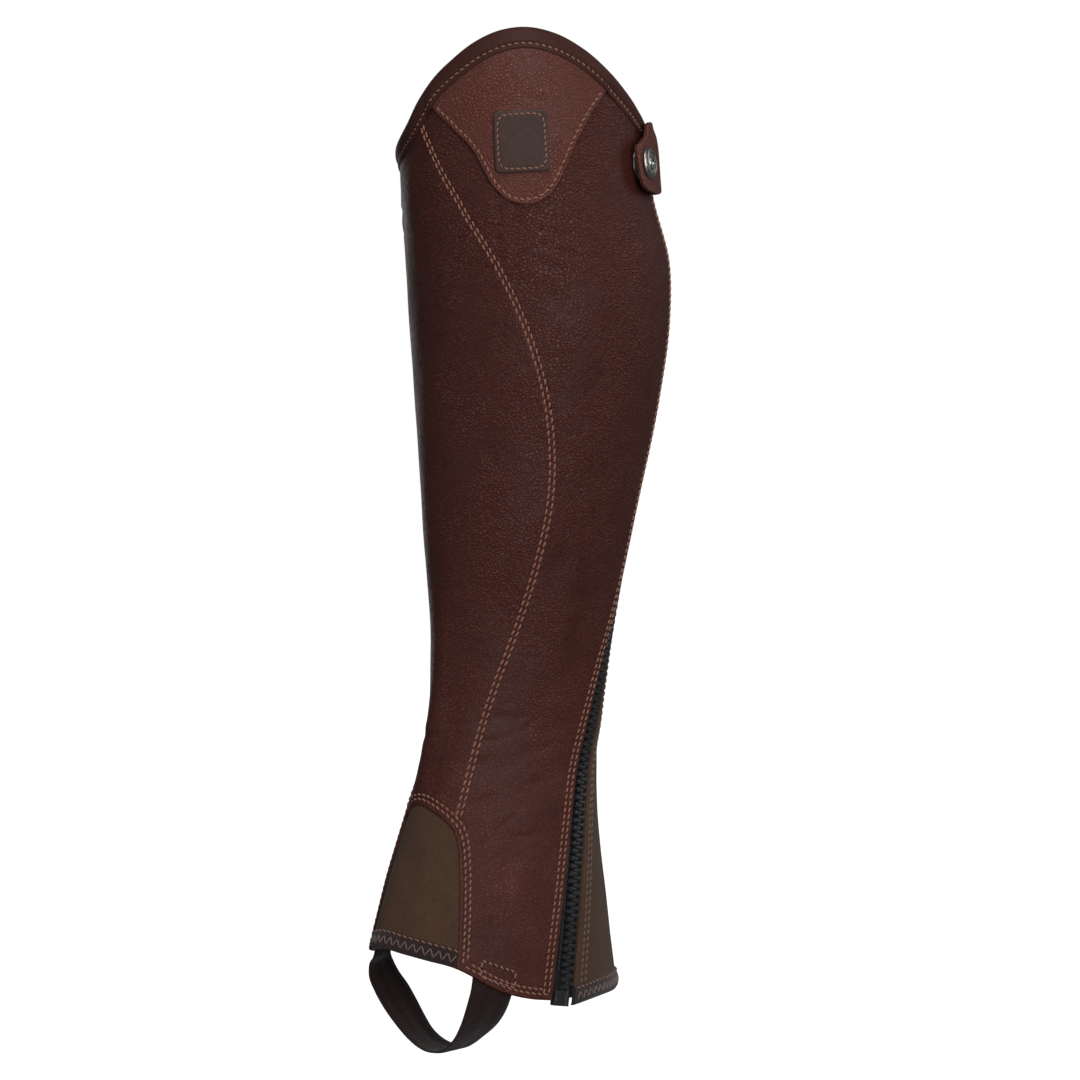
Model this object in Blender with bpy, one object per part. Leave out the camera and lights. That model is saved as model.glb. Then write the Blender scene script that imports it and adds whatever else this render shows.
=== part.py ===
"""Half chap for the left leg: a short leather riding gaiter, filled out as worn, with its stirrup strap.

Metres, Z up. The shin is at -Y, the outer side at +X, and the origin is on the leg's axis where the
calf is widest. A place on the leg is a turn in degrees round it (0 shin, 90 outer side, 180 calf,
-90 inner side), a height in millimetres and a distance out from the leather's face in millimetres.
"""

import bisect
import math
from collections import namedtuple

import bmesh
import bpy
from mathutils import Matrix, Vector

MM = 0.001

# Cloth and seams, in millimetres
LEATHER = 1.6
STRETCH = 1.3
TAPE = 1.0
GAP = 0.3
HALF_GAP = GAP / 2

# The worn form, one row for each level of the leg
Level = namedtuple("Level", "height shin calf half_width narrowing")
FORM = (
    Level(125, -67.5, 40.4, 49.3, 0.00),
    Level(67, -66.5, 44.4, 52.1, 0.00),
    Level(40, -64.8, 49.5, 53.9, 0.00),
    Level(13, -62.1, 57.8, 56.3, 0.00),
    Level(-13, -60.1, 58.4, 55.8, 0.00),
    Level(-50, -58.5, 53.4, 52.3, 0.04),
    Level(-103, -57.2, 41.8, 45.3, 0.10),
    Level(-157, -56.0, 31.3, 38.8, 0.20),
    Level(-193, -59.5, 27.2, 36.3, 0.26),
    Level(-211, -63.0, 24.8, 35.9, 0.22),
    Level(-230, -69.3, 24.8, 37.7, 0.16),
    Level(-266, -82.5, 28.6, 41.7, 0.15),
    Level(-293, -91.0, 32.4, 43.6, 0.16),
    Level(-325, -99.0, 37.9, 45.3, 0.16),
)
ZIP_RIDGE_HEIGHT = 1.2
ZIP_RIDGE_SPREAD = 14.0

# Lines down the leg: the turn at each height
Down = namedtuple("Down", "height turn")
ZIP_LINE = (
    Down(90, 146.0),
    Down(-60, 146.0),
    Down(-110, 145.5),
    Down(-140, 141.5),
    Down(-165, 131.5),
    Down(-190, 123.5),
    Down(-215, 117.0),
    Down(-240, 111.8),
    Down(-265, 107.4),
    Down(-290, 103.8),
    Down(-325, 98.8),
)
FRONT_SEAM = (
    Down(92, -8.0),
    Down(76, 0.0),
    Down(49, 16.0),
    Down(17, 34.5),
    Down(-18, 49.5),
    Down(-54, 61.5),
    Down(-98, 67.2),
    Down(-122, 64.0),
    Down(-147, 57.5),
    Down(-176, 47.5),
    Down(-205, 39.8),
    Down(-237, 35.0),
)
INNER_SEAM = (
    Down(80, -50.0),
    Down(20, -58.0),
    Down(-54, -66.0),
    Down(-110, -67.0),
    Down(-147, -61.0),
    Down(-176, -51.5),
    Down(-200, -41.5),
    Down(-218, -32.0),
    Down(-230, -24.5),
    Down(-237, -19.2),
)
REAR_SEAM = (
    Down(80, -166.0),
    Down(-100, -163.0),
    Down(-190, -168.0),
    Down(-240, -178.0),
    Down(-325, -194.0),
)
ARCH_LEG = (
    Down(-237, 35.0),
    Down(-241, 38.2),
    Down(-248, 41.4),
    Down(-256, 44.0),
    Down(-270, 47.1),
    Down(-286, 49.6),
    Down(-300, 50.8),
)
INNER_ARCH_LEG = (
    Down(-237, -19.2),
    Down(-244, -20.2),
    Down(-256, -22.4),
    Down(-270, -24.6),
    Down(-286, -26.2),
    Down(-300, -27.0),
)

# Lines round the leg: the height at each turn
Round = namedtuple("Round", "turn height")
TOP_EDGE = (
    Round(-216, 71.0),
    Round(-195, 68.0),
    Round(-175, 60.5),
    Round(-150, 54.5),
    Round(-120, 52.0),
    Round(-90, 53.5),
    Round(-60, 58.5),
    Round(-38, 64.0),
    Round(-22, 69.0),
    Round(-10, 76.0),
    Round(0, 85.5),
    Round(9, 93.5),
    Round(21, 102.0),
    Round(33, 109.5),
    Round(45, 114.5),
    Round(59, 116.4),
    Round(73, 113.9),
    Round(88, 107.2),
    Round(109, 93.7),
    Round(123, 84.6),
    Round(138, 76.5),
    Round(150, 71.0),
)
ARCH_TOP = (
    Round(-19.2, -237.0),
    Round(-17.5, -233.0),
    Round(-14, -229.6),
    Round(-8, -227.5),
    Round(0, -226.6),
    Round(12, -228.0),
    Round(20, -230.0),
    Round(28, -233.0),
    Round(35, -237.0),
)
HEM = (
    Round(-200, -314.6),
    Round(-160, -314.6),
    Round(-130, -313.6),
    Round(-112, -311.6),
    Round(-100, -309.0),
    Round(-90, -305.8),
    Round(-80, -302.2),
    Round(-70, -299.0),
    Round(-60, -296.6),
    Round(-50, -295.2),
    Round(-38, -294.0),
    Round(-26, -291.8),
    Round(-13, -289.8),
    Round(0, -288.5),
    Round(19, -290.0),
    Round(35, -292.6),
    Round(51, -296.6),
    Round(60, -301.0),
    Round(68, -305.5),
    Round(76, -309.2),
    Round(84, -311.6),
    Round(95, -313.4),
    Round(120, -315.0),
)
REAR_HEM = (
    Round(-256, -316.9),
    Round(-246, -316.0),
    Round(-237, -315.5),
    Round(-220, -315.5),
    Round(-190, -315.6),
)
SHIELD_EDGE = (
    Round(9.2, 82.0),
    Round(21.5, 72.4),
    Round(33.1, 60.3),
    Round(39.2, 48.0),
    Round(45.7, 41.4),
    Round(53.2, 39.5),
    Round(61.5, 41.6),
    Round(67.5, 46.5),
    Round(72.5, 54.0),
    Round(79.7, 65.9),
    Round(88.0, 77.2),
    Round(98.5, 87.7),
)

JOIN_HEIGHT = -237
ROWS_ABOVE_ANKLE = 22

# Top binding: a padded roll sewn over the top edge
BINDING_WIDTH = 9.6
BINDING_FADE = 16.0
BINDING_ENDS = (-216.0, 150.0)
Roll = namedtuple("Roll", "down out")
BINDING_SECTION = (
    Roll(0.0, -0.9),
    Roll(0.6, 0.7),
    Roll(2.2, 1.6),
    Roll(4.8, 1.7),
    Roll(7.2, 0.8),
    Roll(BINDING_WIDTH, 0.6),
    Roll(BINDING_WIDTH, -2.2),
    Roll(7.2, -2.5),
    Roll(4.8, -3.4),
    Roll(2.2, -3.3),
    Roll(0.6, -2.4),
)

# Shield overlay and badge, laid one on the other
SHIELD_THICKNESS = 1.4
SHIELD_FROM = 10.4
SHIELD_TO = 97.2
BADGE_TURN = 54.2
BADGE_HEIGHT = 66.8
BADGE_HALF_WIDTH = 11.4
BADGE_HALF_HEIGHT = 13.2
BADGE_CORNER = 3.0
BADGE_TILT = 2.5
BADGE_THICKNESS = 1.6

# Front gusset and the bands folded over the stretch fabric's lower edges
GUSSET_OUT = -1.1
HEM_BAND = 8.6
FRONT_BAND_OUT = -0.5
REAR_OUT = -0.3
REAR_BAND_OUT = 0.4
BAND_THICKNESS = 2.0

# Zip: moulded teeth on two tapes under the panels' edges
ZIP_CLEAR = 4.9
TAPE_OUT = -2.1
TAPE_FROM = 3.2
TAPE_TO = 14.0
TAPE_FOOT = -314.0
TEETH_HALF_WIDTH = 2.9
TEETH_OUT = -1.0
TEETH_THICKNESS = 2.8
TEETH_FOOT = -308.8
TEETH_TOP = 60.6
END_BOX_HEIGHT = -313.2
END_BOX = (5.6, 7.4, 3.2)
END_BOX_OUT = -0.8

# Slider and pull, in millimetres across, up and out from the slider's middle
SLIDER_HEIGHT = 60.0
WING = (8.4, 10.0, 1.2)
UPPER_WING_OUT = 0.5
LOWER_WING_OUT = -4.1
NECK = (5.0, 3.6)
NECK_UP = 2.9
BRIDGE_WIDTH = 2.2
BRIDGE_LEG = 1.6
BRIDGE_RISE = 1.8
BRIDGE_BAR = 0.8
PIVOT_UP = -1.9
PIVOT_RISE = 1.0
CROSSBAR_RADIUS = 0.5
PULL_HALF_WIDTH = 3.3
PULL_ARM = 1.3
PULL_HEAD = 5.2
PULL_TIP = 10.6
PULL_THICKNESS = 1.0
ARM_PAST_BAR = 0.2
ARM_PROUD = 0.04
PULL_REST = 4.0
BITE = 0.5

# Snap tab over the slider, with its edges and its rise from the leg
TabRow = namedtuple("TabRow", "turn low high out bow")
SNAP_TAB = (
    TabRow(112.4, 50.4, 62.4, 4.0, 0.0),
    TabRow(113.1, 47.8, 63.9, 4.0, 0.0),
    TabRow(115.4, 45.3, 65.0, 3.9, 0.0),
    TabRow(121.5, 43.5, 67.4, 3.5, 0.0),
    TabRow(126.4, 42.6, 69.3, 3.2, 0.0),
    TabRow(129.6, 42.2, 73.2, 3.1, 0.2),
    TabRow(134.0, 42.2, 74.0, 3.1, 0.6),
    TabRow(144.0, 42.6, 74.0, 3.6, 1.0),
    TabRow(154.0, 42.2, 68.0, 3.2, 1.0),
    TabRow(161.0, 40.8, 61.0, 2.2, 0.7),
    TabRow(168.0, 39.0, 55.6, 0.9, 0.3),
    TabRow(175.0, 37.0, 52.0, 0.15, 0.0),
    TabRow(188.0, 33.0, 47.6, 0.15, 0.0),
)
TAB_THICKNESS = 1.8
Bow = namedtuple("Bow", "height lift")
TAB_BOW = (
    Bow(42, -1.5),
    Bow(50, -0.7),
    Bow(58, 0.0),
    Bow(64, 0.2),
    Bow(68, -0.1),
    Bow(71, -0.8),
    Bow(74, -1.1),
)
SNAP_TURN = 122.3
SNAP_HEIGHT = 56.2

# Turned snap parts: radius and height over the seat
Turned = namedtuple("Turned", "radius rise")
CAP_PROFILE = (
    Turned(0.0, 2.3),
    Turned(2.6, 2.2),
    Turned(3.1, 1.9),
    Turned(5.1, 1.7),
    Turned(6.7, 1.1),
    Turned(7.3, 0.4),
    Turned(7.3, 0.0),
    Turned(0.0, 0.0),
)
STUD_PROFILE = (
    Turned(0.0, 1.9),
    Turned(2.0, 1.9),
    Turned(2.4, 1.5),
    Turned(2.1, 0.9),
    Turned(5.0, 0.8),
    Turned(6.1, 0.5),
    Turned(6.5, 0.0),
    Turned(0.0, 0.0),
)
SOCKET_FLOOR = 1.2
SOCKET_PROFILE = (
    Turned(2.8, SOCKET_FLOOR),
    Turned(2.8, 2.1),
    Turned(0.0, 2.1),
    Turned(0.0, 2.5),
    Turned(5.2, 2.5),
    Turned(5.6, 2.1),
    Turned(5.6, SOCKET_FLOOR),
)
TURNED_SIDES = 24

# Stirrup strap: its two sewn ends under the hem, and the middle line of its free run
SewnRow = namedtuple("SewnRow", "turn height out")
STRAP_OUTER_END = (
    SewnRow(68.5, -291.5, -1.9),
    SewnRow(68.5, -299.5, -1.9),
    SewnRow(68.0, -306.5, -1.9),
)
STRAP_INNER_END = (
    SewnRow(-45.0, -295.4, -2.9),
    SewnRow(-45.0, -287.0, -2.9),
    SewnRow(-45.0, -279.0, -2.9),
)
StrapRow = namedtuple("StrapRow", "x y height yaw")
STRAP_RUN = (
    StrapRow(33.6, -54.8, -311.4, 15.0),
    StrapRow(31.4, -55.4, -317.0, 11.0),
    StrapRow(27.6, -56.2, -323.4, 2.0),
    StrapRow(21.8, -57.4, -329.6, -10.0),
    StrapRow(14.6, -59.0, -334.8, -14.0),
    StrapRow(7.4, -60.5, -335.9, -14.0),
    StrapRow(0.6, -62.0, -334.4, -17.0),
    StrapRow(-5.8, -63.4, -330.8, -17.0),
    StrapRow(-12.0, -64.7, -325.0, -11.0),
    StrapRow(-17.9, -65.8, -318.4, -5.0),
    StrapRow(-23.2, -66.9, -311.6, -6.0),
    StrapRow(-27.2, -68.0, -305.8, -15.0),
    StrapRow(-27.9, -69.0, -300.4, -25.0),
)
STRAP_WIDTH = 20.0
STRAP_THICKNESS = 1.8

# Colours (sRGB 0-1), roughness and metallic value of each finish
Finish = namedtuple("Finish", "colour roughness metallic")
FINISHES = {
    "grained_leather": Finish((0.27, 0.16, 0.14), 0.45, 0.0),
    "overlay_leather": Finish((0.30, 0.17, 0.15), 0.45, 0.0),
    "binding_leather": Finish((0.22, 0.15, 0.13), 0.40, 0.0),
    "badge_leather": Finish((0.23, 0.20, 0.18), 0.50, 0.0),
    "stretch_fabric": Finish((0.25, 0.20, 0.16), 0.90, 0.0),
    "hem_tape": Finish((0.17, 0.13, 0.13), 0.85, 0.0),
    "strap_elastic": Finish((0.11, 0.08, 0.08), 0.85, 0.0),
    "zip_tape": Finish((0.08, 0.08, 0.09), 0.85, 0.0),
    "moulded_plastic": Finish((0.11, 0.11, 0.12), 0.45, 0.0),
    "dark_metal": Finish((0.20, 0.20, 0.21), 0.35, 1.0),
    "old_silver": Finish((0.62, 0.62, 0.60), 0.30, 1.0),
}


def curve(table, column):
    """Cubic curve through one column of a table, read at the value of the table's first column."""
    rows = sorted(table)
    places = [row[0] for row in rows]
    values = [getattr(row, column) for row in rows]
    steps = [(values[k + 1] - values[k]) / (places[k + 1] - places[k]) for k in range(len(rows) - 1)]
    slopes = [steps[0]]
    for k in range(1, len(rows) - 1):
        before = places[k] - places[k - 1]
        after = places[k + 1] - places[k]
        slopes.append((steps[k - 1] * after + steps[k] * before) / (before + after))
    slopes.append(steps[-1])

    def read(at):
        at = min(max(at, places[0]), places[-1])
        k = min(max(bisect.bisect_right(places, at) - 1, 0), len(places) - 2)
        span = places[k + 1] - places[k]
        t = (at - places[k]) / span
        rise = (3 - 2 * t) * t * t
        start_pull = t * (1 - t) ** 2 * slopes[k] * span
        end_pull = t * t * (t - 1) * slopes[k + 1] * span
        return values[k] * (1 - rise) + values[k + 1] * rise + start_pull + end_pull

    return read


shin_line = curve(FORM, "shin")
calf_line = curve(FORM, "calf")
half_width = curve(FORM, "half_width")
narrowing = curve(FORM, "narrowing")
zip_turn = curve(ZIP_LINE, "turn")
front_seam = curve(FRONT_SEAM, "turn")
inner_seam = curve(INNER_SEAM, "turn")
rear_seam = curve(REAR_SEAM, "turn")
arch_leg = curve(ARCH_LEG, "turn")
inner_arch_leg = curve(INNER_ARCH_LEG, "turn")
arch_top = curve(ARCH_TOP, "height")
top_edge = curve(TOP_EDGE, "height")
hem = curve(HEM, "height")
rear_hem = curve(REAR_HEM, "height")
shield_edge = curve(SHIELD_EDGE, "height")


def form_point(turn, height):
    """Point of the leather's face, in millimetres."""
    angle = math.radians(turn)
    front = shin_line(height)
    back = calf_line(height)
    taper = 1 - narrowing(height) * (1 + math.cos(angle)) / 2
    from_zip = (turn - zip_turn(height) + 180) % 360 - 180
    ridge = ZIP_RIDGE_HEIGHT * math.exp(-(from_zip / ZIP_RIDGE_SPREAD) ** 2)
    x = (half_width(height) * taper + ridge) * math.sin(angle)
    y = (front + back) / 2 - ((back - front) / 2 + ridge) * math.cos(angle)
    return Vector((x, y, height))


def form_axes(turn, height):
    """Unit vectors across (towards a greater turn), up and out at a place on the leg."""
    across = form_point(turn + 0.5, height) - form_point(turn - 0.5, height)
    up = form_point(turn, height + 0.5) - form_point(turn, height - 0.5)
    out = across.cross(up).normalized()
    across.normalize()
    return across, out.cross(across), out


def leg_point(turn, height, out=0.0):
    """Place on the leg as a world point in metres."""
    point = form_point(turn, height)
    if out:
        point = point + form_axes(turn, height)[2] * out
    return point * MM


def arc(turn, height):
    """Millimetres round the leg for each degree of turn."""
    return (form_point(turn + 0.5, height) - form_point(turn - 0.5, height)).length


def beside(line, distance, whole_turns=0):
    """Line down the leg moved round it by a distance in millimetres."""

    def moved(height):
        turn = line(height) + 360 * whole_turns
        return turn + distance / arc(turn, height)

    return moved


def below_top(turn, distance):
    """Turn and height a distance below the top edge, square to it but for the two ends at the zip."""
    height = top_edge(turn)
    rise = (top_edge(turn + 1) - top_edge(turn - 1)) / (2 * arc(turn, height))
    to_end = min(turn - BINDING_ENDS[0], BINDING_ENDS[1] - turn)
    lean = math.atan(rise) * min(1.0, max(0.0, to_end / BINDING_FADE))
    return turn + distance * math.sin(lean) / arc(turn, height), height - distance * math.cos(lean)


def line_below_top(distance):
    """Height round the leg of the line that lies a distance below the top edge."""
    first, last = BINDING_ENDS
    steps = 120
    turns = [first + (last - first) * k / steps for k in range(steps + 1)]
    return curve([Round(*below_top(turn, distance)) for turn in turns], "height")


panel_top = line_below_top(BINDING_WIDTH + GAP)


def mix(a, b, share):
    return a + (b - a) * share


def even(count):
    """Shares from 0 to 1 in equal steps."""
    return [k / count for k in range(count + 1)]


def closer_at_end(count):
    """Shares from 0 to 1 in steps that shorten towards 1."""
    return [1 - (1 - share) ** 1.5 for share in even(count)]


def rows_between(low, high, shares):
    """Lines round the leg at shares of the way from one line to another."""
    return [lambda turn, share=share: mix(low(turn), high(turn), share) for share in shares]


def ankle_line(turn):
    """Level line at which the front seams meet the gusset's arch."""
    return JOIN_HEIGHT


def panel_rows(low, high, count_below=7):
    """Rows of a panel from its hem through the ankle line to its top, shared by neighbours at a seam."""
    below = rows_between(low, ankle_line, closer_at_end(count_below))
    return below + rows_between(ankle_line, high, even(ROWS_ABOVE_ANKLE))[1:]


def spread(left, right, rows, across):
    """Grid of places between two lines down the leg, on each of the rows round it."""
    grid = []
    for u in across:
        column = []
        for row in rows:
            turn = mix(left(0), right(0), u)
            for _ in range(60):
                height = row(turn)
                nearer = mix(left(height), right(height), u)
                if abs(nearer - turn) < 1e-5:
                    break
                turn = nearer
            column.append((turn, height))
        grid.append(column)
    return grid


def finish_material(name, finish_name):
    """Principled material of one piece, with the values of its finish."""
    finish = FINISHES[finish_name]
    material = bpy.data.materials.new(name)
    material.use_nodes = True
    shader = material.node_tree.nodes["Principled BSDF"]
    linear = [c / 12.92 if c <= 0.04045 else ((c + 0.055) / 1.055) ** 2.4 for c in finish.colour]
    shader.inputs["Base Color"].default_value = (*linear, 1.0)
    shader.inputs["Roughness"].default_value = finish.roughness
    shader.inputs["Metallic"].default_value = finish.metallic
    material.diffuse_color = (*linear, 1.0)
    return material


def add_object(name, mesh_data, finish, frame=None):
    """Object from a bmesh, smooth but for its sharp edges, placed by a frame."""
    mesh = bpy.data.meshes.new(name)
    mesh_data.to_mesh(mesh)
    mesh_data.free()
    mesh.shade_smooth()
    mesh.set_sharp_from_angle(angle=math.radians(35))
    mesh.materials.append(finish_material(name, finish))
    item = bpy.data.objects.new(name, mesh)
    if frame is not None:
        item.matrix_world = frame
    bpy.context.collection.objects.link(item)
    return item


def close_grid(mesh_data, front, back):
    """Faces of a closed wall between two grids of vertices, front facing out."""
    across = len(front) - 1
    up = len(front[0]) - 1
    for i in range(across):
        for j in range(up):
            mesh_data.faces.new((front[i][j], front[i + 1][j], front[i + 1][j + 1], front[i][j + 1]))
            mesh_data.faces.new((back[i][j], back[i][j + 1], back[i + 1][j + 1], back[i + 1][j]))
    for i in range(across):
        mesh_data.faces.new((front[i + 1][0], front[i][0], back[i][0], back[i + 1][0]))
        mesh_data.faces.new((front[i][up], front[i + 1][up], back[i + 1][up], back[i][up]))
    for j in range(up):
        mesh_data.faces.new((front[0][j], front[0][j + 1], back[0][j + 1], back[0][j]))
        mesh_data.faces.new((front[across][j + 1], front[across][j], back[across][j], back[across][j + 1]))


def wall(name, grid, out, thickness, finish):
    """Cloth wall on a grid of places; out is the distance of its face, or a function of the place."""
    face_out = out if callable(out) else (lambda turn, height: out)
    mesh_data = bmesh.new()
    front = [[mesh_data.verts.new(leg_point(t, h, face_out(t, h))) for t, h in column] for column in grid]
    back = [[mesh_data.verts.new(leg_point(t, h, face_out(t, h) - thickness)) for t, h in column]
            for column in grid]
    close_grid(mesh_data, front, back)
    return add_object(name, mesh_data, finish)


def rigid_frame(turn, height, out):
    """Frame of a hard piece on the leg: X across, Y up, Z out, in millimetres."""
    across, up, outward = form_axes(turn, height)
    frame = Matrix((across, up, outward)).transposed().to_4x4()
    frame.translation = leg_point(turn, height, out)
    return frame @ Matrix.Scale(MM, 4)


def box_part(size, middle, bevel=0.0):
    """Closed box as a bmesh, with softened edges."""
    mesh_data = bmesh.new()
    bmesh.ops.create_cube(mesh_data, size=1.0)
    bmesh.ops.scale(mesh_data, vec=size, verts=mesh_data.verts)
    if bevel:
        bmesh.ops.bevel(mesh_data, geom=mesh_data.edges[:], offset=bevel, segments=1, affect="EDGES")
    bmesh.ops.translate(mesh_data, vec=middle, verts=mesh_data.verts)
    return mesh_data


def turned_part(profile, sides=TURNED_SIDES):
    """Closed turned solid from rows of radius and rise, listed from the top round to the foot."""
    mesh_data = bmesh.new()
    rings = []
    for row in profile:
        if row.radius == 0.0:
            rings.append([mesh_data.verts.new((0.0, 0.0, row.rise))])
            continue
        angles = [2 * math.pi * k / sides for k in range(sides)]
        rings.append([mesh_data.verts.new((row.radius * math.cos(a), row.radius * math.sin(a), row.rise))
                      for a in angles])
    pairs = list(zip(rings, rings[1:]))
    if len(rings[0]) > 1:
        pairs.append((rings[-1], rings[0]))
    for upper, lower in pairs:
        for k in range(sides):
            corners = [upper[k % len(upper)], lower[k % len(lower)],
                       lower[(k + 1) % len(lower)], upper[(k + 1) % len(upper)]]
            corners = list(dict.fromkeys(corners))
            if len(corners) > 2:
                mesh_data.faces.new(corners)
    return mesh_data


def join_parts(name, parts, finish, frame):
    """One solid from overlapping closed parts."""
    whole = add_object(name, parts[0], finish)
    others = [add_object(name + "_part", part, finish) for part in parts[1:]]
    for other in others:
        modifier = whole.modifiers.new("join", "BOOLEAN")
        modifier.operation = "UNION"
        modifier.solver = "EXACT"
        modifier.object = other
    bpy.context.view_layer.update()
    joined = whole.evaluated_get(bpy.context.evaluated_depsgraph_get())
    shape = bpy.data.meshes.new_from_object(joined)
    whole.modifiers.clear()
    shape.materials.clear()
    shape.materials.append(whole.data.materials[0])
    whole.data = shape
    for other in others:
        bpy.data.objects.remove(other)
    whole.matrix_world = frame
    return whole


def build_leather_panels():
    """Outer, shin and inner panels, 0.3 mm apart along the curved seams."""
    outer_line = beside(front_seam, HALF_GAP)
    outer_leg = beside(arch_leg, HALF_GAP)
    inner_line = beside(inner_seam, -HALF_GAP)
    inner_leg = beside(inner_arch_leg, -HALF_GAP)

    grid = spread(lambda height: outer_line(height) if height > JOIN_HEIGHT else outer_leg(height),
                  beside(zip_turn, -ZIP_CLEAR), panel_rows(hem, panel_top), even(16))
    wall("outer_panel", grid, 0.0, LEATHER, "grained_leather")

    rows = rows_between(lambda turn: arch_top(turn) + HALF_GAP, panel_top, even(ROWS_ABOVE_ANKLE))
    grid = spread(beside(inner_seam, HALF_GAP), beside(front_seam, -HALF_GAP), rows, even(16))
    wall("shin_panel", grid, 0.0, LEATHER, "grained_leather")

    grid = spread(beside(rear_seam, HALF_GAP),
                  lambda height: inner_line(height) if height > JOIN_HEIGHT else inner_leg(height),
                  panel_rows(hem, panel_top), even(14))
    wall("inner_panel", grid, 0.0, LEATHER, "grained_leather")


def build_stretch_panels():
    """Arched gusset over the instep and the long stretch panel behind the zip, each with its hem band."""

    def front_band_top(turn):
        return hem(turn) + HEM_BAND

    def rear_band_top(turn):
        return rear_hem(turn) + HEM_BAND

    def outer_side(height):
        return beside(arch_leg, -GAP)(min(height, JOIN_HEIGHT))

    def inner_side(height):
        return beside(inner_arch_leg, GAP)(min(height, JOIN_HEIGHT))

    rows = rows_between(lambda turn: front_band_top(turn) + HALF_GAP,
                        lambda turn: arch_top(turn) - HALF_GAP, closer_at_end(9))
    grid = spread(inner_side, outer_side, rows, even(16))
    wall("front_gusset", grid, GUSSET_OUT, STRETCH, "stretch_fabric")

    rows = rows_between(hem, lambda turn: front_band_top(turn) - HALF_GAP, even(2))
    grid = spread(inner_side, outer_side, rows, even(16))
    wall("front_gusset_hem", grid, FRONT_BAND_OUT, BAND_THICKNESS, "hem_tape")

    at_zip = beside(zip_turn, ZIP_CLEAR, -1)
    at_seam = beside(rear_seam, -HALF_GAP)
    rows = panel_rows(lambda turn: rear_band_top(turn) + HALF_GAP, panel_top, 5)
    wall("rear_stretch", spread(at_zip, at_seam, rows, even(10)), REAR_OUT, STRETCH, "stretch_fabric")

    rows = rows_between(rear_hem, lambda turn: rear_band_top(turn) - HALF_GAP, even(2))
    grid = spread(at_zip, at_seam, rows, even(12))
    wall("rear_stretch_hem", grid, REAR_BAND_OUT, BAND_THICKNESS, "hem_tape")


def build_shield_and_badge():
    """Shield overlay on the outer panel under the binding, and the badge on the shield."""
    rows = rows_between(shield_edge, lambda turn: panel_top(turn) - HALF_GAP, even(8))
    grid = spread(lambda height: SHIELD_FROM, lambda height: SHIELD_TO, rows, even(22))
    face = GAP + SHIELD_THICKNESS
    wall("shield_overlay", grid, face, SHIELD_THICKNESS, "overlay_leather")

    tilt = math.radians(BADGE_TILT)
    per_degree = arc(BADGE_TURN, BADGE_HEIGHT)
    grid = []
    for share in even(12):
        x = -BADGE_HALF_WIDTH * math.cos(math.pi * share)
        past = max(0.0, abs(x) - (BADGE_HALF_WIDTH - BADGE_CORNER))
        half = BADGE_HALF_HEIGHT - BADGE_CORNER + math.sqrt(max(0.0, BADGE_CORNER ** 2 - past ** 2))
        column = []
        for v in even(5):
            y = mix(-half, half, v)
            turn = BADGE_TURN + (x * math.cos(tilt) - y * math.sin(tilt)) / per_degree
            column.append((turn, BADGE_HEIGHT + x * math.sin(tilt) + y * math.cos(tilt)))
        grid.append(column)
    wall("badge", grid, face + GAP + BADGE_THICKNESS, BADGE_THICKNESS, "badge_leather")


def build_binding():
    """Padded roll swept along the top edge from one side of the zip round to the other."""
    clear = ZIP_CLEAR + GAP
    first = zip_turn(70) - 360 + clear / arc(zip_turn(70), 70)
    last = zip_turn(70) - clear / arc(zip_turn(70), 70)
    stations = 74
    mesh_data = bmesh.new()
    rings = []
    for share in even(stations):
        turn = mix(first, last, share)
        ring = [leg_point(*below_top(turn, point.down), point.out) for point in BINDING_SECTION]
        rings.append([mesh_data.verts.new(point) for point in ring])
    count = len(BINDING_SECTION)
    for ring, following in zip(rings, rings[1:]):
        for k in range(count):
            after = (k + 1) % count
            mesh_data.faces.new((ring[k], ring[after], following[after], following[k]))
    mesh_data.faces.new(list(reversed(rings[0])))
    mesh_data.faces.new(rings[-1])
    add_object("top_binding", mesh_data, "binding_leather")


def build_zip():
    """Two tapes, the closed row of teeth as one strip, and the box at the foot."""
    rows = panel_rows(lambda turn: TAPE_FOOT, panel_top)
    grid = spread(beside(zip_turn, -TAPE_TO), beside(zip_turn, -TAPE_FROM), rows, even(2))
    wall("zip_tape_front", grid, TAPE_OUT, TAPE, "zip_tape")
    grid = spread(beside(zip_turn, TAPE_FROM, -1), beside(zip_turn, TAPE_TO, -1), rows, even(2))
    wall("zip_tape_rear", grid, TAPE_OUT, TAPE, "zip_tape")

    rows = panel_rows(lambda turn: TEETH_FOOT, lambda turn: TEETH_TOP)
    grid = spread(beside(zip_turn, -TEETH_HALF_WIDTH), beside(zip_turn, TEETH_HALF_WIDTH), rows, even(2))
    wall("zip_chain", grid, TEETH_OUT, TEETH_THICKNESS, "moulded_plastic")

    turn = zip_turn(END_BOX_HEIGHT)
    run = (zip_turn(END_BOX_HEIGHT + 1) - zip_turn(END_BOX_HEIGHT - 1)) * arc(turn, END_BOX_HEIGHT) / 2
    frame = rigid_frame(turn, END_BOX_HEIGHT, END_BOX_OUT - END_BOX[2] / 2)
    frame = frame @ Matrix.Rotation(-math.atan(run), 4, "Z")
    add_object("zip_end_box", box_part(END_BOX, (0, 0, 0), 0.5), "moulded_plastic", frame)


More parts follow.
